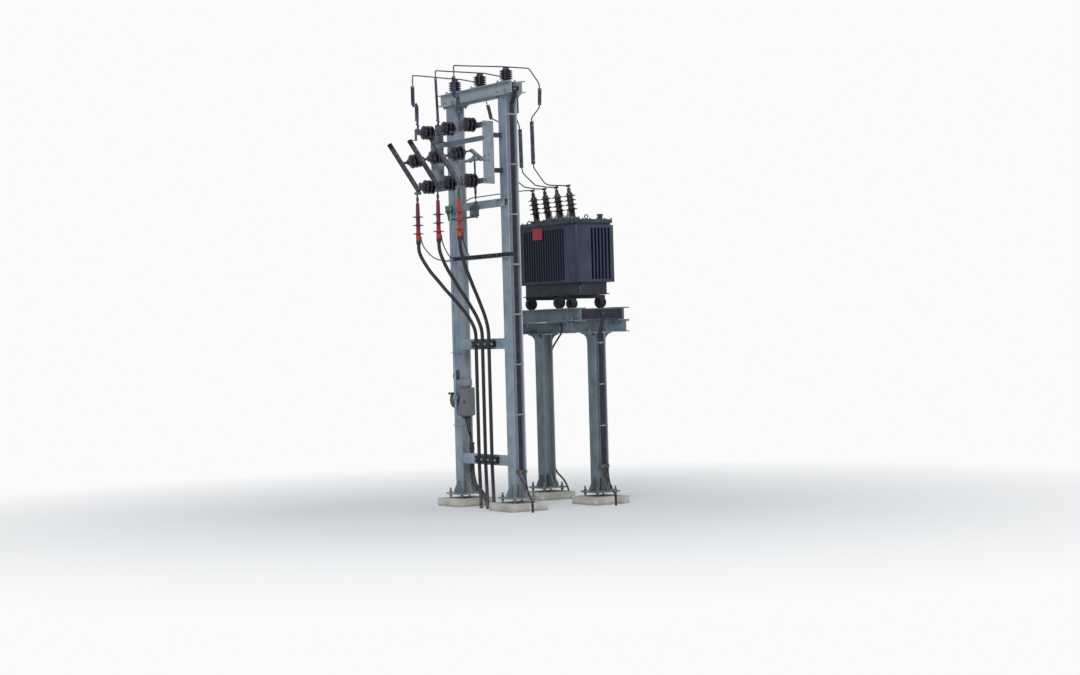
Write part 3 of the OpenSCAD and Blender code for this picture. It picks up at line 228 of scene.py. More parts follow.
class Finish:
    """A finish in the making, colour laid over colour. Masks run from 0 to 1, patterns are
    sized in millimetres on the piece's own coordinates."""

    def __init__(self, name):
        self.material = bpy.data.materials.new(name)
        self.material.use_nodes = True
        self.tree = self.material.node_tree
        self.tree.nodes.clear()
        self.skin = add(self.tree, "ShaderNodeBsdfPrincipled")
        add(self.tree, "ShaderNodeOutputMaterial", {"Surface": self.skin.outputs["BSDF"]})
        self.place = self.node("ShaderNodeTexCoord", out="Object")
        self.colour = self.bumps = None

    def node(self, kind, feeds=None, out=0, **settings):
        """The output of one more node."""
        return add(self.tree, kind, feeds, **settings).outputs[out]

    def clouds(self, size_mm, detail=4.0, stretch=(1, 1, 1)):
        """Cloudy pattern with lumps of that size, longer along an axis where stretch says so."""
        spread = self.node("ShaderNodeMapping",
                           {"Vector": self.place, "Scale": [1 / s for s in stretch]})
        return self.node("ShaderNodeTexNoise",
                         {"Vector": spread, "Scale": 1000 / size_mm, "Detail": detail})

    def patches(self, size_mm, low, high, least=0.0, most=1.0, detail=4.0, stretch=(1, 1, 1)):
        """Clouds that are least up to their value low and most from their value high."""
        return self.node("ShaderNodeMapRange", {
            "Value": self.clouds(size_mm, detail, stretch),
            "From Min": low, "From Max": high, "To Min": least, "To Max": most})

    def along(self, axis, start_mm, end_mm, most=1.0):
        """0 up to the start and most from the end of a stretch of X, Y or Z."""
        value = self.node("ShaderNodeSeparateXYZ", {"Vector": self.place}, axis)
        return self.node("ShaderNodeMapRange", {
            "Value": value, "From Min": start_mm / 1000, "From Max": end_mm / 1000, "To Max": most})

    def upward(self):
        """1 where a face looks up, as for settled dust."""
        normal = self.node("ShaderNodeNewGeometry", out="Normal")
        rise = self.node("ShaderNodeSeparateXYZ", {"Vector": normal}, "Z")
        return self.node("ShaderNodeMapRange", {"Value": rise, "From Min": 0.45, "From Max": 0.95})

    def beyond(self, way, low_mm, high_mm):
        """0 between two distances along way, 1 beyond them, with an edge 2 mm wide."""
        value = self.node("ShaderNodeVectorMath", {0: self.place, 1: way}, "Value",
                          operation="DOT_PRODUCT")
        below, above = (self.node("ShaderNodeMapRange", {
            "Value": value, "From Min": (edge - half) / 1000, "From Max": (edge + half) / 1000})
            for edge, half in ((low_mm, -1), (high_mm, 1)))
        return self.node("ShaderNodeMath", {0: below, 1: above}, operation="MAXIMUM")

    def inverse(self, *masks):
        """0 where any of the masks is 1."""
        widest = masks[0]
        for mask in masks[1:]:
            widest = self.node("ShaderNodeMath", {0: widest, 1: mask}, operation="MAXIMUM")
        return self.node("ShaderNodeMath", {0: 1.0, 1: widest}, operation="SUBTRACT")

    def base(self, colours, clouds):
        """The first colour: a run from dark to light over the values of the clouds."""
        darkest, lightest = 0.32, 0.68
        ramp = add(self.tree, "ShaderNodeValToRGB", {"Fac": clouds})
        keys = ramp.color_ramp.elements
        while len(keys) < len(colours):
            keys.new(0.5)
        for i, code in enumerate(colours):
            keys[i].position = darkest + (lightest - darkest) * i / (len(colours) - 1)
            keys[i].color = linear(code)
        self.colour = ramp.outputs["Color"]

    def lay(self, top, *masks):
        """A colour over the one so far, as far as all the masks let it through."""
        mask = masks[0]
        for other in masks[1:]:
            mask = self.node("ShaderNodeMath", {0: mask, 1: other}, operation="MULTIPLY")
        top = linear(top) if isinstance(top, str) else top
        self.colour = self.node("ShaderNodeMixRGB",
                                {"Fac": mask, "Color1": self.colour, "Color2": top})
        return mask

    def relief(self, clouds, depth_mm):
        """Unevenness of the skin, on top of what it has already."""
        feeds = {"Height": clouds, "Strength": 1.0, "Distance": depth_mm / 1000}
        if self.bumps is not None:
            feeds["Normal"] = self.bumps
        self.bumps = self.node("ShaderNodeBump", feeds, "Normal")

    def done(self, feeds):
        feed(self.tree, self.skin, {"Base Color": self.colour, "Normal": self.bumps, **feeds})
        return self.material


def galvanised(name, colours, streak, metallic=0.35, rough=(0.42, 0.62), painted_light_in_hollow=None):
    # Hot-dip galvanised steel left outdoors: a dull zinc skin with a faint spangle,
    # darker runs down the faces, pale oxide bloom, dust, brown splash near the ground,
    # and painted light in the hollow of a column, lightening the shade between its flanges
    zinc = Finish(name)
    spangle_mm, spangle_share = 14, 0.16
    cells = zinc.node("ShaderNodeTexVoronoi",
                      {"Vector": zinc.place, "Scale": 1000 / spangle_mm}, "Color", feature="F1")
    spangle = zinc.node("ShaderNodeSeparateXYZ", {"Vector": cells}, "X")
    cloudy, crystals = (
        zinc.node("ShaderNodeMath", {0: pattern, 1: share}, operation="MULTIPLY")
        for pattern, share in ((zinc.clouds(170, 5), 1 - spangle_share), (spangle, spangle_share)))
    zinc.base(colours, zinc.node("ShaderNodeMath", {0: cloudy, 1: crystals}, operation="ADD"))
    runs = zinc.patches(26, 0.56, 0.78, most=0.5, detail=3, stretch=(1, 1, 14))
    bloom = zinc.patches(46, 0.60, 0.74, most=0.3, detail=6)
    dust = zinc.patches(60, 0.3, 0.7, 0.15, 0.6)
    splash = zinc.patches(34, 0.38, 0.68, most=0.7, detail=6)
    zinc.lay(streak, runs)
    if painted_light_in_hollow:
        web_x, edge_y, strength = painted_light_in_hollow
        # Painted light: the web and inner flange faces in the hollow are lightened, from its open
        # side inward
        painted_light_between_flanges = zinc.inverse(zinc.beyond((1, 0, 0), web_x - 60, web_x + 69))
        zinc.lay("#c9cfd4", painted_light_between_flanges, zinc.along("Y", edge_y - 0.8, edge_y), strength)
    zinc.lay("#a9b3b6", bloom)
    zinc.lay("#a9a497", zinc.upward(), dust)
    zinc.lay("#7d766b", zinc.along("Z", 420, 90), splash)
    zinc.relief(zinc.clouds(9, 3), 0.25)
    zinc.relief(zinc.clouds(90, 3), 0.8)
    gloss = zinc.node("ShaderNodeMapRange",
                      {"Value": spangle, "To Min": rough[0], "To Max": rough[1]})
    return zinc.done({"Roughness": gloss, "Metallic": metallic})


far_off = 9000  # farther along any way than the bay reaches


def porcelain(name, colours, dust, way=up, low_mm=-far_off, high_mm=far_off, cap="#4b4f52"):
    # Salt-glazed porcelain: dark body under a thick wet-looking glaze, slightly wavy,
    # with rain-washed dust on the upper side of the sheds and dull cast caps at both ends
    glaze = Finish(name)
    glaze.base(colours, glaze.clouds(55))
    specks = glaze.patches(3.5, 0.62, 0.70, most=0.5, detail=2)
    settled = glaze.patches(18, 0.3, 0.7, 0.06, 0.38, detail=5)
    rust = glaze.patches(12, 0.5, 0.7, most=0.6, detail=5)
    glaze.lay(colours[0], specks)
    dusty = glaze.lay(dust, glaze.upward(), settled)
    cast = glaze.node("ShaderNodeMixRGB",
                      {"Fac": rust, "Color1": linear(cap), "Color2": linear("#6d5c50")})
    caps = glaze.lay(cast, glaze.beyond(way, low_mm, high_mm))
    glaze.relief(glaze.clouds(16, 2), 0.35)
    dust_rough = glaze.node("ShaderNodeMapRange", {"Value": dusty, "From Max": 0.5,
                                                   "To Min": 0.12, "To Max": 0.44})
    cap_rough = glaze.node("ShaderNodeMapRange", {"Value": caps, "To Max": 0.5})
    rough = glaze.node("ShaderNodeMath", {0: dust_rough, 1: cap_rough}, operation="MAXIMUM")
    coat = glaze.node("ShaderNodeMapRange", {"Value": caps, "To Min": 0.3, "To Max": 0.0})
    return glaze.done({"Roughness": rough, "Coat Weight": coat, "Coat Roughness": 0.06})


def sheet_paint(name, colours, dust, chip, rough=(0.38, 0.55), orange_peel_mm=2.5, shade=None):
    # Stoved paint on steel sheet: satin skin with orange peel, rain streaks, dust on
    # what looks up and a few chips down to rust
    paint = Finish(name)
    paint.base(colours, paint.clouds(240))
    streaks = paint.patches(22, 0.52, 0.76, most=0.35, detail=3, stretch=(1, 1, 18))
    settled = paint.patches(42, 0.3, 0.7, 0.2, 0.75, detail=5)
    chips = paint.patches(11, 0.735, 0.75, most=0.9, detail=7)
    paint.lay(dust, streaks)
    paint.lay(dust, paint.upward(), settled)
    paint.lay(chip, chips)
    # Painted shade laid by the shade function, where one is given
    if shade:
        shade(paint)
    paint.relief(paint.clouds(orange_peel_mm, 1), 0.05)
    paint.relief(paint.clouds(130, 2), 0.5)
    return paint.done({"Roughness": paint.patches(70, 0.3, 0.7, *rough)})


def painted_shade_between_fins(paint):
    # Painted shade: the paint behind the fins' edges is darkened, and past the smooth near end
    # the edges are painted darker too; the walls between the fins get a painted blue light
    fins_x, half_x, half_y = tank_x + 12, 244, 569
    edges_x = paint.beyond((1, 0, 0), fins_x - half_x, fins_x + half_x)
    edges_y = paint.beyond((0, 1, 0), tank_y - half_y, tank_y + half_y)
    deep = paint.inverse(edges_x, edges_y)
    paint.lay("#171d2b", deep, 0.65)
    finned = paint.along("Y", 285, 300, most=0.85)
    paint.lay("#0f131d", finned, edges_x)
    paint.lay("#2a3450", finned, deep)


def oxidised_copper(name, colours, worn):
    # Rolled copper bar gone brown outdoors: violet-brown oxide with lighter rubbed places
    # and fine rolling lines along the bar
    bar = Finish(name)
    bar.base(colours, bar.clouds(60, 5))
    rubbed = bar.patches(20, 0.60, 0.72, most=0.5, detail=5)
    bar.lay(worn, rubbed)
    bar.relief(bar.clouds(4, 3, (1, 1, 9)), 0.12)
    return bar.done({"Roughness": bar.patches(30, 0.3, 0.7, 0.42, 0.66), "Metallic": 0.45})


def tinned(name, colours, burnt=None):
    # Tinned copper and brass contact metal: dull grey tin, worn brown where it rubs,
    # and burnt black at the tip of a blade
    tin = Finish(name)
    tin.base(colours, tin.clouds(34, 5))
    rubbed = tin.patches(12, 0.58, 0.72, most=0.6, detail=5, stretch=(1, 1, 4))
    tin.lay("#5d4a42", rubbed)
    if burnt:
        tin.lay("#1f1d20", tin.beyond(*burnt), 0.9)
    tin.relief(tin.clouds(3, 3), 0.1)
    return tin.done({"Roughness": tin.patches(18, 0.3, 0.7, 0.34, 0.56), "Metallic": 0.55})


def sheath(name, colours, bloom, rough=(0.45, 0.62)):
    # Extruded black plastic: near-black with a grey weather bloom, faint die lines and
    # earth splashed on the foot
    skin = Finish(name)
    skin.base(colours, skin.clouds(80))
    weathered = skin.patches(15, 0.52, 0.76, most=0.45, detail=5)
    splash = skin.patches(24, 0.35, 0.65, 0.1, 0.8, detail=5)
    skin.lay(bloom, weathered)
    skin.lay("#7b7366", skin.along("Z", 300, 0), splash)
    skin.relief(skin.clouds(2.2, 2, (1, 1, 30)), 0.12)
    return skin.done({"Roughness": skin.patches(26, 0.3, 0.7, *rough, detail=3)})


def red_rubber(name):
    # Shrunk silicone tubing: dark crimson, sun-faded to rust on the near pole and lower
    # down, with a black tail at the cable and a bare grey lug stem on top
    tubing = Finish(name)
    crimson, rust, orange, stain, black, grey, dust = (
        "#6f2233", "#a43a2b", "#b8452c", "#5a1a22", "#232326", "#3c3d42", "#a07b72")
    tubing.colour = linear(crimson)
    tubing.lay(rust, tubing.along("Y", 550, 150))
    tubing.lay(orange, tubing.along("Z", 2960, 2850), 0.8)
    tubing.lay(stain, tubing.patches(30, 0.4, 0.75, most=0.55))
    tubing.lay(black, tubing.along("Z", 2812, 2806))
    tubing.lay(grey, tubing.along("Z", 3196, 3200))
    tubing.lay(dust, tubing.upward(), 0.3)
    tubing.relief(tubing.clouds(7, 3, (1, 1, 0.3)), 0.3)
    return tubing.done({"Roughness": tubing.patches(20, 0.3, 0.7, 0.42, 0.62)})


def concrete(name):
    # Cast concrete, floated by hand: pale cement with sand grain, a damp foot, faint rust
    # and a rough, slightly wavy skin
    cast = Finish(name)
    cast.base(["#aca89e", "#c5c1b7", "#d3d0c6"], cast.clouds(150, 6))
    sand = cast.patches(4, 0.42, 0.62, most=0.35)
    damp = cast.patches(40, 0.3, 0.6, 0.2, 0.8, detail=5)
    rust = cast.patches(60, 0.66, 0.78, most=0.4, detail=5)
    cast.lay("#8f8a7f", sand)
    cast.lay("#7f7a6e", cast.along("Z", 34, 0), damp)
    cast.lay("#9a7e62", rust)
    cast.relief(cast.clouds(3), 0.5)
    cast.relief(cast.clouds(45), 1.6)
    return cast.done({"Roughness": 0.9})


def cast_bronze(name):
    # Sand-cast bronze clamp: golden brown with patches of green and a grainy skin
    cast = Finish(name)
    cast.base(["#4b4036", "#655646", "#7d6e5c"], cast.clouds(22, 5))
    green = cast.patches(14, 0.6, 0.75, most=0.6)
    cast.lay("#5e7263", green)
    cast.relief(cast.clouds(1.8, 3), 0.25)
    return cast.done({"Roughness": cast.patches(9, 0.3, 0.7, 0.4, 0.62, detail=3),
                      "Metallic": 0.45})


# The shaded tones are the same zinc painted darker: painted shade on the stand beneath the tank
unshaded_zinc, shaded_zinc = ["#788996", "#8b9ba7", "#9eabb4"], ["#5f7078", "#6f7e87", "#808f97"]
zinc = galvanised("hot_dip_galvanised_section", unshaded_zinc, "#64727c")
# Both column finishes carry painted light in the hollow between their flanges
column_zinc = galvanised("hot_dip_galvanised_column", unshaded_zinc, "#64727c", painted_light_in_hollow=(0, -70, 0.6))
stand_zinc = galvanised("shaded_galvanised_section", shaded_zinc, "#4c5a61")
post_zinc = galvanised("shaded_galvanised_column", ["#5a6a72", "#6a7981", "#7b8991"], "#48565d",
                       painted_light_in_hollow=(stand_x, stand_y[0] - 70, 0.3))
pale_zinc = galvanised("galvanised_sheet_plate", ["#7d868e", "#8a939b", "#979fa5"], "#717a81", 0.25)
tube_zinc = galvanised("galvanised_square_tube", ["#5d6874", "#6b7681", "#7b858d"], "#4e5862", 0.3)
beam_zinc = galvanised("galvanised_beam_channel", ["#87959e", "#97a4ab", "#a8b2b7"], "#717d84", 0.2)
dark_zinc = galvanised("weathered_galvanised_forging", ["#434f55", "#525e64", "#636e73"], "#3a444a")
disc_zinc = galvanised("weathered_galvanised_disc", ["#34444b", "#42525a", "#526167"], "#2e3a40")
bolt_zinc = galvanised("zinc_plated_fastener", ["#6a6e72", "#82868a", "#979b9d"], "#62544a", 0.5,
                       (0.34, 0.5))
strap_zinc = galvanised("stainless_strip_strap", ["#9ca2a4", "#b4b9ba", "#c6cac9"], "#7a7672", 0.5,
                        (0.3, 0.45))

# Caps of the insulators begin at these distances along them
post_tones, post_dust = ["#130e18", "#1d1623", "#2a2030"], "#4b4650"
top_glaze = porcelain("glazed_top_post", post_tones, post_dust, up, 4403.5, 4508.5, "#35383f")
row_glaze = porcelain("glazed_row_post", post_tones, post_dust, to_switch, 333.7, 474.3, "#3f4349")
link_way = (math.cos(link_lean), 0, math.sin(link_lean))
pin_reach = reach(link_way, *drive_pin)
drive_glaze = porcelain("glazed_drive_link", post_tones, post_dust, link_way,
                        pin_reach + 102.7, pin_reach + 243.3, "#3f4349")
foot_reach = reach(leaning(bushing_lean), bushing_x, cover_top)
bushing_glaze = porcelain("glazed_bushing", ["#180f15", "#251820", "#33222a"], "#4d444a",
                          leaning(bushing_lean), foot_reach + 15, foot_reach + 317, "#25242a")
pale_glaze = porcelain("pale_glazed_porcelain", ["#a39f92", "#b9b5a8", "#c7c3b7"], "#8d877a")

# The tank's paint carries painted shade between its fins
slate_paint = sheet_paint("slate_tank_paint", ["#222a40", "#2a334a", "#343e56"], "#3d475c",
                          "#4b3a36", shade=painted_shade_between_fins)
dark_paint = sheet_paint("slate_cover_paint", ["#262d3d", "#2f3648", "#3a4255"], "#525a6a",
                         "#4b3a36")
base_paint = sheet_paint("soot_dark_base_paint", ["#14151f", "#1b1e29", "#262b36"], "#33363f",
                         "#43322e")
box_paint = sheet_paint("grey_box_paint", ["#66676c", "#73747a", "#818287"], "#5d5c5f", "#7a5240")
red_paint = sheet_paint("red_enamel_plate", ["#8f1624", "#a51c2b", "#b62635"], "#96404a", "#4b2a24")
iron_black = sheet_paint("painted_cast_iron", ["#17181d", "#1f2026", "#2a2b31"], "#43424a",
                         "#54392e", (0.5, 0.7), 1.8)

copper = oxidised_copper("oxidised_copper_bar", ["#343648", "#434659", "#56586b"], "#665f69")
strip_copper = oxidised_copper("weathered_earth_strip", ["#211f2c", "#2c2938", "#383445"],
                               "#4a434e")
bright_copper = oxidised_copper("brown_earth_copper", ["#2a2027", "#3a2c32", "#4b3a3f"], "#5d4a48")
contact_tin = tinned("tinned_contact_copper", ["#5c5d63", "#74757a", "#8b8c90"])
blade_way = leaning(blade_lean)
blade_tin = tinned("tinned_blade_copper", ["#46484f", "#595b62", "#6d6e74"],
                   (blade_way, -far_off, reach(blade_way, pivot_x, pivot_z) + burnt_from))
cable_black = sheath("polyethylene_cable_sheath", ["#18181e", "#1f1f26", "#27272e"], "#3b3b44")
clamp_black = sheath("moulded_polyamide_clamp", ["#0e0f12", "#15161a", "#1e1f23"], "#2c2d32",
                     (0.5, 0.7))
conduit_black = sheath("pvc_conduit", ["#22252b", "#2b2f36", "#363a41"], "#55565a", (0.4, 0.6))
rubber_red = red_rubber("silicone_shrink_tubing")
cement = concrete("floated_concrete")
bronze = cast_bronze("sand_cast_bronze")

# CAD nodes that aren't named here are plain galvanised steel
finish_of = {
    "foundation_pads": cement, "anchor_bolts": bolt_zinc,
    "gantry_beam": beam_zinc, "beam_saddles": beam_zinc, "gantry_columns": column_zinc,
    "stand_columns": post_zinc, "stand_lower_beams": stand_zinc, "stand_upper_beams": stand_zinc,
    "stand_end_channels": stand_zinc,
    "switch_side_plates": pale_zinc, "switch_insulator_tubes": tube_zinc,
    "switch_stiffener": tube_zinc, "switch_brackets": dark_zinc, "crank_brackets": tube_zinc,
    "top_post_insulators": top_glaze, "upper_row_insulators": row_glaze,
    "lower_row_insulators": row_glaze, "drive_insulators": drive_glaze,
    "high_voltage_bushings": bushing_glaze, "low_voltage_bushings": pale_glaze,
    "contact_jaws": contact_tin, "hinge_terminals": contact_tin, "switch_blades": blade_tin,
    "upper_rod": dark_zinc, "near_bell_crank": dark_zinc, "far_bell_crank": dark_zinc,
    "link_rod": dark_zinc, "hand_wheel": disc_zinc, "operating_box": box_paint,
    "cable_clamps": clamp_black, "power_cables": cable_black, "cable_conduit": conduit_black,
    "cable_terminations": rubber_red,
    "line_conductors": copper, "earth_strips": strip_copper, "earth_clamps": bronze,
    "earth_leads": bright_copper,
    "transformer_tank": slate_paint, "transformer_cover": dark_paint,
    "transformer_base": base_paint, "transformer_rollers": iron_black,
}
for name, node in cad.items():
    for slot in node.material_slots:
        slot.material = finish_of.get(name, zinc)

# Rolled, cast or welded edges of CAD nodes, rounded by a modifier
edge_radii_mm = {
    "foundation_pads": 9, "gantry_beam": 2, "transformer_cover": 5, "transformer_tank": 5,
    "operating_box": 3, "cable_clamps": 4, "transformer_base": 3, "switch_side_plates": 1.5,
    "stand_upper_beams": 1.5, "stand_lower_beams": 1.5, "earth_clamps": 2.5,
}
for name, radius_mm in edge_radii_mm.items():
    weld = cad[name].modifiers.new("weld", "WELD")
    weld.merge_threshold = 0.02 * mm
    edge = cad[name].modifiers.new("round", "BEVEL")
    edge.width, edge.segments = radius_mm * mm, 2
    edge.limit_method, edge.angle_limit = "ANGLE", math.radians(50)
    edge.use_clamp_overlap = True


# ---------------------------------------------------------------------------
# How pieces are made and put in place; sizes are in millimetres
# ---------------------------------------------------------------------------

def block(size, centre=(0, 0, 0)):
    """A block to shape: a new piece, or in edit mode more of the piece in work."""
    deselect()
    bpy.ops.mesh.primitive_cube_add(size=1, location=at(*centre), scale=at(*size))
    return bpy.context.object


def drum(sides, radius, foot, top):
    """A round or many-sided block on the Z axis, likewise."""
    deselect()
    bpy.ops.mesh.primitive_cylinder_add(vertices=sides, radius=radius * mm,
                                        depth=(top - foot) * mm,
                                        location=at(0, 0, (foot + top) / 2))
    return bpy.context.object


def choose(piece, test, kind="FACE"):
    """Edit mode, with only those faces or edges selected that pass the test."""
    if piece.mode != "EDIT":
        bpy.ops.object.mode_set(mode="EDIT")
    bpy.ops.mesh.select_mode(type=kind)
    deselect()
    mesh = bmesh.from_edit_mesh(piece.data)
    for part in (mesh.faces if kind == "FACE" else mesh.edges):
        part.select_set(test(part))
    bmesh.update_edit_mesh(piece.data)


def face_up(face):
    return face.normal.z > 0.9


def face_down(face):
    return face.normal.z < -0.9


def upright(edge):
    return abs(edge.verts[0].co.z - edge.verts[1].co.z) > 0.9 * edge.calc_length()


def inset(thickness):
    bpy.ops.mesh.inset(thickness=thickness * mm)


def shift(x, y, z):
    bpy.ops.transform.translate(value=at(x, y, z))


def grow(height):
    """The chosen faces extruded along Z."""
    bpy.ops.mesh.extrude_region_move(TRANSFORM_OT_translate={"value": at(0, 0, height)})


def bevel(width, segments=2):
    bpy.ops.mesh.bevel(offset=width * mm, segments=segments, affect="EDGES")


def turn_outwards():
    bpy.ops.mesh.select_all(action="SELECT")
    bpy.ops.mesh.normals_make_consistent(inside=False)


def put_at_origin(piece):
    """The piece's place goes into its mesh."""
    fresh()
    piece.select_set(True)
    bpy.context.view_layer.objects.active = piece
    bpy.ops.object.transform_apply(location=True, rotation=True, scale=True)


def settle(piece, name, finish, body="root", angle=35):
    """Finishes a piece: its name, smooth shading, material, and the body that it rides on."""
    put_at_origin(piece)
    bpy.ops.object.shade_smooth_by_angle(angle=math.radians(angle))
    piece.name = name
    piece.data.name = name
    piece.data.materials.clear()
    piece.data.materials.append(finish)
    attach(piece, body)
    return piece


def join(parts):
    fresh()
    for part in parts:
        part.select_set(True)
    bpy.context.view_layer.objects.active = parts[0]
    if len(parts) > 1:
        bpy.ops.object.join()
    return parts[0]


def set_out(pattern, places):
    """A copy of the pattern at each place, joined into one piece."""
    put_at_origin(pattern)
    made = []
    for place in places:
        twin = pattern.copy()
        twin.data = pattern.data.copy()
        twin.data.transform(place)
        bpy.context.scene.collection.objects.link(twin)
        made.append(twin)
    bpy.data.objects.remove(pattern)
    return join(made)


def facing(point, way):
    """Puts a pattern whose foot is at the origin on a point, with its top along way."""
    return Matrix.Translation(point) @ Vector(way).to_track_quat("Z", "Y").to_matrix().to_4x4()


def hex_bolt(size, tail=0.9):
    """Head with a chamfer, washer and thread end. Size is half the head's width over corners,
    and tail is the length of the thread end as a share of it."""
    bolt = drum(6, size, foot=0.2 * size, top=0.95 * size)
    choose(bolt, face_up)
    inset(0.16 * size)
    shift(0, 0, 0.1 * size)
    drum(14, 1.3 * size, foot=0, top=0.2 * size)
    drum(8, 0.5 * size, foot=size, top=(1 + tail) * size)
    fresh()
    return bolt


def filleted(points, bend):
    """The run with each corner rounded to that radius, in six steps."""
    steps, share_of_side = 6, 0.45
    run = [points[0]]
    for before, corner, after in zip(points, points[1:], points[2:]):
        back, on = before - corner, after - corner
        cut = min(bend * mm, back.length * share_of_side, on.length * share_of_side)
        start, end = corner + back.normalized() * cut, corner + on.normalized() * cut
        for t in (k / (steps - 1) for k in range(steps)):
            run.append(start * (1 - t) ** 2 + corner * 2 * t * (1 - t) + end * t ** 2)
    run.append(points[-1])
    return run


def round_rod(points, radius, bend=20, resolution=3):
    """Round bar bent along the points."""
    curve = bpy.data.curves.new("bent_rod", "CURVE")
    curve.dimensions, curve.use_fill_caps = "3D", True
    curve.bevel_depth, curve.bevel_resolution = radius * mm, resolution
    run = filleted(points, bend)
    line = curve.splines.new("POLY")
    line.points.add(len(run) - 1)
    for knot, point in zip(line.points, run):
        knot.co = (*point, 1)
    rod = bpy.data.objects.new("bent_rod", curve)
    bpy.context.scene.collection.objects.link(rod)
    fresh()
    rod.select_set(True)
    bpy.context.view_layer.objects.active = rod
    bpy.ops.object.convert(target="MESH")
    return bpy.context.object


def flat_bar(points, width, thickness):
    """Flat bar bent on edge along the points, its width in the plane of X and Z."""
    across, sharpest_mitre = Vector((0, 1, 0)), 0.6
    corners = ((-1, -1), (1, -1), (1, 1), (-1, 1))
    rings = []
    for i, point in enumerate(points):
        before = (point - points[i - 1]).normalized() if i else None
        after = (points[i + 1] - point).normalized() if i + 1 < len(points) else None
        way = ((before or after) + (after or before)).normalized()
        side = across.cross(way).normalized()
        thin = side.cross(way).normalized()
        half_width = width * mm / 2 / max(sharpest_mitre, way.dot(after or before))
        rings.append([point + side * (sx * half_width) + thin * (sy * thickness * mm / 2)
                      for sx, sy in corners])
    fresh()
    bpy.ops.mesh.primitive_plane_add(size=width * mm, location=(0, 0, 0))
    bar = bpy.context.object
    bpy.ops.object.mode_set(mode="EDIT")
    mesh = bmesh.from_edit_mesh(bar.data)
    for face in mesh.faces:
        for corner, target in zip(face.verts, rings[0]):
            corner.co = target
    bmesh.update_edit_mesh(bar.data)
    for old, new in zip(rings, rings[1:]):
        bpy.ops.mesh.extrude_region_move()
        mesh = bmesh.from_edit_mesh(bar.data)
        moving = [vert for vert in mesh.verts if vert.select]
        nearest = [min(moving, key=lambda vert: (vert.co - corner).length) for corner in old]
        for vert, target in zip(nearest, new):
            vert.co = target
        bmesh.update_edit_mesh(bar.data)
    turn_outwards()
    fresh()
    return bar


# ---------------------------------------------------------------------------
# Conductors: round rods over the insulators, flats and braids between them
# ---------------------------------------------------------------------------

def on_riser(pole, along, down):
    """A point of the riser from a top insulator to its jaw, by its share along X and down."""
    y = top_post_y[pole] if along < 0.5 else pole_y[pole]
    return at(riser_x * along, y, top_wire_z + (jaw_top - top_wire_z) * down)


def on_lead(pole, along, across, down):
    """A point of the lead from a top insulator to its bushing, by its shares of the way."""
    y = top_post_y[pole] + (bushing_y[pole] - top_post_y[pole]) * across
    return at(lead_x * along, y, top_wire_z + (tip_z - top_wire_z) * down)


# Risers, by shares along X and down. Those at the sides are two bars bolted on each other
side_riser = dict(rod=[(1.09, 0.24), (1.09, 0), (0.9, 0), (0.12, 0)], width=42,
                  bars=[[(1.013, 0.86), (1.013, 0.585), (1.05, 0.53)],
                        [(1.05, 0.575), (1.09, 0.53), (1.09, 0.20)]],
                  bolts=[(1.013, 0.84), (1.06, 0.555), (1.09, 0.22)])
middle_riser = dict(rod=[(1.03, 0.19), (1.03, 0), (0.9, 0), (0.12, 0)], width=28,
                    bars=[[(1, 0.93), (1.03, 0.14)]],
                    bolts=[(1, 0.91), (1.03, 0.16)])
braid_shape = [(1, 1), (1, 0.975), (0.985, 0.945), (1.02, 0.915), (0.995, 0.885), (1.012, 0.855)]

# Leads, by shares along X, across and down: a rod, two flat bars with a thinner rod between
# them, and a tail to the bushing
near_lead = dict(
    rod=[(0.06, 0, 0), (0.31, 0.03, 0), (0.335, 0.04, 0.008), (0.48, 0.15, 0.12),
         (0.498, 0.19, 0.175)],
    first=[(0.498, 0.185, 0.165), (0.508, 0.28, 0.31)],
    thin=[(0.508, 0.275, 0.30), (0.505, 0.31, 0.335), (0.43, 0.50, 0.42), (0.438, 0.53, 0.465)],
    second=[(0.437, 0.525, 0.45), (0.495, 0.80, 0.82)],
    tail=[(0.494, 0.79, 0.80), (0.505, 0.83, 0.85), (0.67, 0.91, 0.985), (0.74, 0.93, 1),
          (0.90, 1, 1), (1, 1, 1)])
middle_lead = dict(
    rod=[(0.06, 0, 0), (0.29, 0, 0.02), (0.48, 0, 0.13), (0.50, 0, 0.18)],
    first=[(0.505, 0, 0.175), (0.51, 0, 0.34)],
    thin=[(0.51, 0, 0.33), (0.49, 0.1, 0.38), (0.53, 0.2, 0.45), (0.54, 0.25, 0.50)],
    second=[(0.54, 0.25, 0.485), (0.54, 0.60, 0.83)],
    tail=[(0.54, 0.59, 0.82), (0.56, 0.64, 0.88), (0.73, 0.75, 0.985), (0.90, 1, 1), (1, 1, 1)])
far_lead = dict(
    rod=[(0.06, 0, 0), (0.29, 0.03, 0.02), (0.41, 0.10, 0.18), (0.425, 0.13, 0.22)],
    first=[(0.43, 0.14, 0.225), (0.45, 0.26, 0.36)],
    thin=[(0.45, 0.25, 0.35), (0.53, 0.44, 0.39), (0.54, 0.50, 0.45)],
    second=[(0.54, 0.50, 0.435), (0.54, 0.88, 0.80)],
    tail=[(0.54, 0.87, 0.79), (0.57, 0.92, 0.86), (0.66, 0.96, 0.94), (0.74, 0.98, 0.985),
          (0.90, 1, 1), (1, 1, 1)])

bar_thickness = 6
wire_bolts = []


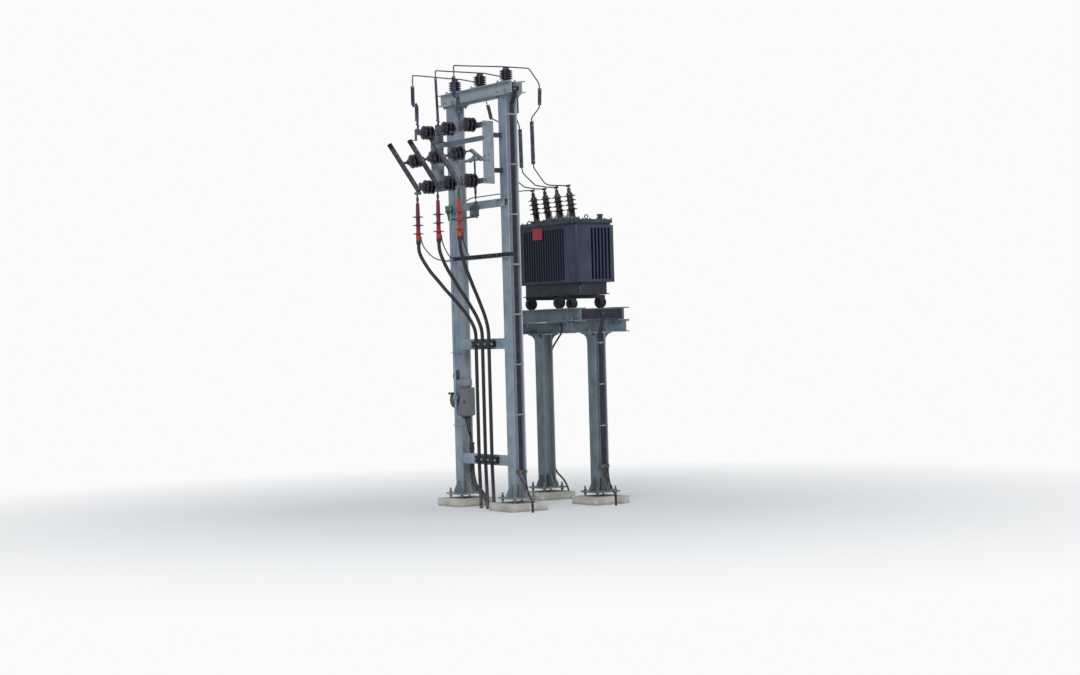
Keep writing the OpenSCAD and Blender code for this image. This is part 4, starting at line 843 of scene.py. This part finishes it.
def run_conductor(name, pole, riser, lead_shares):
    lead = {key: [on_lead(pole, *share) for share in shares] for key, shares in lead_shares.items()}
    bars = []
    for k, shares in enumerate(riser["bars"]):
        step = at(0, bar_thickness * k, 0)
        points = [on_riser(pole, *share) + step for share in shares]
        bars.append(flat_bar(points, riser["width"], bar_thickness))
    rod = [on_riser(pole, *share) for share in riser["rod"]] + lead["rod"]
    braid = [on_riser(pole, *share) for share in braid_shape]
    parts = [round_rod(rod, 6.4, bend=12), *bars, flat_bar(braid, 20, 9),
             flat_bar(lead["first"], 42, bar_thickness), round_rod(lead["thin"], 6.5),
             flat_bar(lead["second"], 44, 8), round_rod(lead["tail"], 6.5)]
    joints = [on_riser(pole, *share) for share in riser["bolts"]]
    joints += [lead[key][0].lerp(lead[key][1], t) for key in ("first", "second")
               for t in (0.09, 0.91)]
    wire_bolts.extend(facing(point - at(0, bar_thickness / 2, 0), to_near) for point in joints)
    settle(join(parts), name, copper)


run_conductor("near_phase_conductor", 0, side_riser, near_lead)
run_conductor("middle_phase_conductor", 1, middle_riser, middle_lead)
run_conductor("far_phase_conductor", 2, side_riser, far_lead)

# Neutral lead, from the fourth bushing to a clip in the far column
from_y, clip_y = bushing_y[3], column_y[1]
neutral_shares = ((0, 0, 0), (0.1, 0, 0), (0.4, 0.2, 0.04), (0.9, 0.85, 0.11), (1, 1, 0.17),
                  (1, 1, 0.5), (1, 1, 1))
neutral_rod = round_rod([at(lead_x + (neutral_clip_x - lead_x) * along,
                            from_y + (clip_y - from_y) * across,
                            tip_z + (neutral_foot_z - tip_z) * down)
                         for along, across, down in neutral_shares], 6)
clip = block((22, 40, 24), centre=(neutral_clip_x - 3, clip_y, neutral_foot_z + 12))
settle(join([neutral_rod, clip]), "neutral_conductor", copper)
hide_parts("line_conductors")
settle(set_out(hex_bolt(11), wire_bolts), "conductor_bolts", bolt_zinc)


# ---------------------------------------------------------------------------
# Fasteners of the steelwork
# ---------------------------------------------------------------------------

def corner_bolts(x, y, half_x, half_y, faces):
    """Bolts at four corners about x, y: heads on the upper face, thread ends below a lower one."""
    return [facing(at(x + sx * half_x, y + sy * half_y, z), way)
            for sx in (-1, 1) for sy in (-1, 1) for z, way in zip(faces, (up, down))]


def bolts_to_switch(x, ys, zs):
    """Bolts on a face that looks towards the switch, at each y and z."""
    return [facing(at(x, y, z), to_switch) for y in ys for z in zs]


def beside(centres, half):
    """Places at both sides of each centre."""
    return [centre + s * half for centre in centres for s in (-1, 1)]


section_bolts = []
for y in column_y:
    section_bolts += corner_bolts(0, y, half_x=84, half_y=78, faces=beam_flange_faces)
for x in upper_beam_x:
    for y in stand_y:
        section_bolts += corner_bolts(x, y, half_x=44, half_y=38, faces=beam_joint_faces)
for y in stand_y:
    section_bolts += corner_bolts(stand_x, y, half_x=105, half_y=40, faces=column_joint_faces)
settle(set_out(hex_bolt(15.5), section_bolts), "section_bolts", bolt_zinc)

fitting_bolts = bolts_to_switch(cross_channel_face, beside(column_y, 38), [cross_channel_z])
fitting_bolts += [facing(at(bracket_face, y, z), to_switch) for y, z in near_bracket]
fitting_bolts += bolts_to_switch(bracket_face, beside([far_bracket_y], 30), far_bracket_z)
for y in top_post_y:
    fitting_bolts += corner_bolts(0, y, half_x=76, half_y=46, faces=[post_foot_top])
for y, way in side_plates:
    fitting_bolts += [facing(at(x, y, z), way) for x, z in (
        (tube_x, upper_row_z), (tube_x, lower_row_z), (stiffener_x, stiffener_z))]
settle(set_out(hex_bolt(10.5), fitting_bolts), "fitting_bolts", bolt_zinc)

clamp_bolts = bolts_to_switch(clamp_face, clamp_bolt_y, clamp_z)
settle(set_out(hex_bolt(10, 0.6), clamp_bolts), "cable_clamp_bolts", strap_zinc)

# Straps that press the earth strips on their clips, with a bolt at each side of the strip
strap = block((56, 13, 3), centre=(0, 0, 1.5))
choose(strap, face_up)
inset(2)
shift(0, 0, 1.2)
clips = [at(0, strip_y, z) for z in clip_heights]
clips += [at(stand_x, stand_strip_y, z) for z in stand_clip_heights]
settle(set_out(strap, [facing(point, to_near) for point in clips]), "strip_straps", strap_zinc)
strap_bolts = [facing(point + at(dx, -2, 0), to_near) for point in clips for dx in (-17, 17)]
settle(set_out(hex_bolt(6, 0.5), strap_bolts), "strip_bolts", bolt_zinc)

# Small bolts of hinge terminals, jaws, cable lugs, earth bar and tube guides
small = bolts_to_switch(terminal_face, beside(pole_y, 21), [lower_row_z + 28])
small += bolts_to_switch(terminal_face, beside(pole_y, 18), beside([upper_row_z], 18))
small += bolts_to_switch(lug_face, beside(pole_y, 12), [lug_z])
small += bolts_to_switch(earth_bar_face, earth_bar_bolt_y, [earth_bar_z])
small += bolts_to_switch(guide_face, guide_bolt_y, guide_z)

# Small bolts of earth clamps, shaft bearings and the upper ends of the earth strips
for x, clamp_y in ((0, -92), (stand_x, -49)):
    small += [facing(at(x + dx, clamp_y, earth_clamp_z), to_near) for dx in (-8, 53)]
    small += [facing(at(x + dx, clamp_y - 16, earth_clamp_z - 8), to_near) for dx in (-40, 30)]
for y, way in side_plates:
    small += [facing(at(x, y, z), way)
              for x in beside([shaft_x], 30) for z in beside([shaft_z], 30)]
small += [facing(at(*point), to_near)
          for point in ((stand_x, -91, 1996), (-12, -145, 4300), (12, -145, 4300))]
settle(set_out(hex_bolt(7.5, 0.6), small), "terminal_bolts", bolt_zinc)

axle_nuts = [facing(at(*end), to_switch) for end in axle_ends]
settle(set_out(hex_bolt(10, 0.4), axle_nuts), "axle_nuts", bolt_zinc)


def pin_nuts(name, body, pins, half_length):
    """A nut at both ends of each pin, which lies along Y at a place in X and Z, on every pole."""
    nuts = [facing(at(x, y + s * half_length, z), (0, s, 0))
            for y in pole_y for x, z in pins for s in (-1, 1)]
    settle(set_out(hex_bolt(9.5, 0.5), nuts), name, bolt_zinc, body)


def on_blade(distance):
    """A place in X and Z, that far from the hinge along the blade."""
    return pivot_x + blade_way[0] * distance, pivot_z + blade_way[2] * distance


pin_nuts("blade_pin_nuts", "blades", [on_blade(pin) for pin in blade_pins], half_length=22)
pin_nuts("blade_spacer_nuts", "blades", [on_blade(blade_spacer)], half_length=17)
pin_nuts("shaft_arm_nuts", "shaft", [arm_tip], half_length=21)


# ---------------------------------------------------------------------------
# Transformer
# ---------------------------------------------------------------------------

# Bolts along the cover's rim, between the corners and the middle of the bolted edge
rim_x, rim_y = 226.5, 569
long_side, short_side = 12, 5
rim = [facing(at(tank_x + s * rim_x, tank_y - rim_y + 2 * rim_y * k / long_side, cover_top), up)
       for k in range(long_side + 1) for s in (-1, 1)]
rim += [facing(at(tank_x - rim_x + 2 * rim_x * k / short_side, tank_y + s * rim_y, cover_top), up)
        for k in range(1, short_side) for s in (-1, 1)]
settle(set_out(hex_bolt(9.5, 0.6), rim), "cover_bolts", dark_zinc)

# Bushings on the high-voltage side: four thin sheds on a slim body, a neck and a terminal
# block. Rings are given as radius and height, those of a shed about its own height
shed = ((33, -10), (35, -8), (60, -6), (64, -4), (65, -1), (63.5, 1.5), (48, 6), (36, 11), (33, 15))
rings = [(56, 0), (56, 2), (54, 5), (48, 8), (36, 9), (33, 14)]
rings += [(radius, shed_z + z) for shed_z in (117.3, 165.3, 213.3, 261.3) for radius, z in shed]
rings += [(33, 286), (30, 292), (21, 297), (20, 302), (20, 330), (17, 333), (17, 344), (8, 346),
          (8, 362)]
bpy.ops.mesh.primitive_circle_add(vertices=36, radius=rings[0][0] * mm, fill_type="NGON",
                                  location=(0, 0, 0))
bushing = bpy.context.object
choose(bushing, lambda face: True)
for (from_r, from_z), (to_r, to_z) in zip(rings, rings[1:]):
    grow(to_z - from_z)
    bpy.ops.transform.resize(value=(to_r / from_r, to_r / from_r, 1))
turn_outwards()
block((40, 32, 24), (0, 0, 368))
bevel(2)
places = [Matrix.Translation(at(bushing_x, y, cover_top)) @ Matrix.Rotation(-bushing_lean, 4, "Y")
          for y in bushing_y]
settle(set_out(bushing, places), "bushing_bodies", bushing_glaze,
       angle=50)
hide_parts("high_voltage_bushings")


def around_bushings(rise):
    """Four places around the foot of each bushing, at a height above the cover."""
    return [Matrix.Translation(at(bushing_x, y, cover_top + rise))
            @ Matrix.Rotation(math.radians(45 + 90 * k), 4, "Z")
            for y in bushing_y for k in range(4)]


# Claws that hold a bushing's foot to the cover
claw = block((34, 30, 26), (56, 0, 13))
choose(claw, lambda face: face.normal.x < -0.9)
shift(-10, 0, 12)
bpy.ops.mesh.select_all(action="SELECT")
bevel(3)
settle(set_out(claw, around_bushings(1)), "bushing_claws", dark_zinc)
claw_bolts = [place @ Matrix.Translation(at(60, 0, 0)) for place in around_bushings(24)]
settle(set_out(hex_bolt(9), claw_bolts), "bushing_claw_bolts", bolt_zinc)

# Bare red plate on the fins, cut square from sheet
settle(block(red_plate_size, red_plate_centre), "red_plate", red_paint)


# ---------------------------------------------------------------------------
# Fittings of the operating box, lock of the drive, control cable of the stand
# ---------------------------------------------------------------------------

hinge = drum(16, 6, foot=-25, top=25)
choose(hinge, lambda face: face_up(face) or face_down(face))
inset(1.5)
bpy.ops.mesh.extrude_region_shrink_fatten(TRANSFORM_OT_shrink_fatten={"value": 3 * mm})
hinges = [Matrix.Translation(at(box_face, box_y[1] - 9, z)) for z in (box_foot + 60, box_top - 62)]
settle(set_out(hinge, hinges), "box_hinges", box_paint)

box_lock = drum(24, 15, foot=0, top=8)
choose(box_lock, face_up)
inset(4)
grow(5)
block((7, 34, 6), (0, 0, 15.5))
lock_place = facing(at(box_face, box_y[0] + 26, (box_foot + box_top) / 2), to_switch)
settle(set_out(box_lock, [lock_place]), "box_lock", dark_zinc)

gland = drum(6, 17, foot=-12, top=0)
choose(gland, face_down)
inset(4)
grow(-14)
glands = [Matrix.Translation(at(-58, box_y[0] + dy, box_foot - 10)) for dy in (60, 110, 150)]
settle(set_out(gland, glands), "box_glands", clamp_black)

# Key lock above the wheel: a ring around a stepped barrel, a back plate and a key blade
key_lock = drum(40, 40, foot=0, top=34)
choose(key_lock, face_up)
inset(9)
grow(-6)
inset(12)
grow(14)
block((50, 124, 6), (0, 0, 3))
block((5, 18, 8), (0, 0, 42))
settle(set_out(key_lock, [facing(at(*key_lock_foot), to_switch)]), "key_lock", disc_zinc)

# Control cable from the lower beam, behind the far column, to the ground
cable_route = ((1249, 1000, 1916), (1255, 1000, 1814), (1172, 1000, 1714), (1132, 1022, 1640),
               (1131, 1050, 1540), (1131, 1056, 900), (1131, 1050, 400), (1140, 1020, 290),
               (1190, 955, 215), (1232, 930, 120), (1240, 922, 8))
cable = round_rod([at(*point) for point in cable_route], 10, bend=90, resolution=4)
settle(cable, "stand_cable", cable_black, angle=60)
saddle = block((34, 30, 20))
choose(saddle, upright, "EDGE")
bevel(6, segments=3)
saddles = [Matrix.Translation(at(saddle_x, saddle_y, z)) for z in saddle_heights]
settle(set_out(saddle, saddles), "stand_cable_saddles", clamp_black)
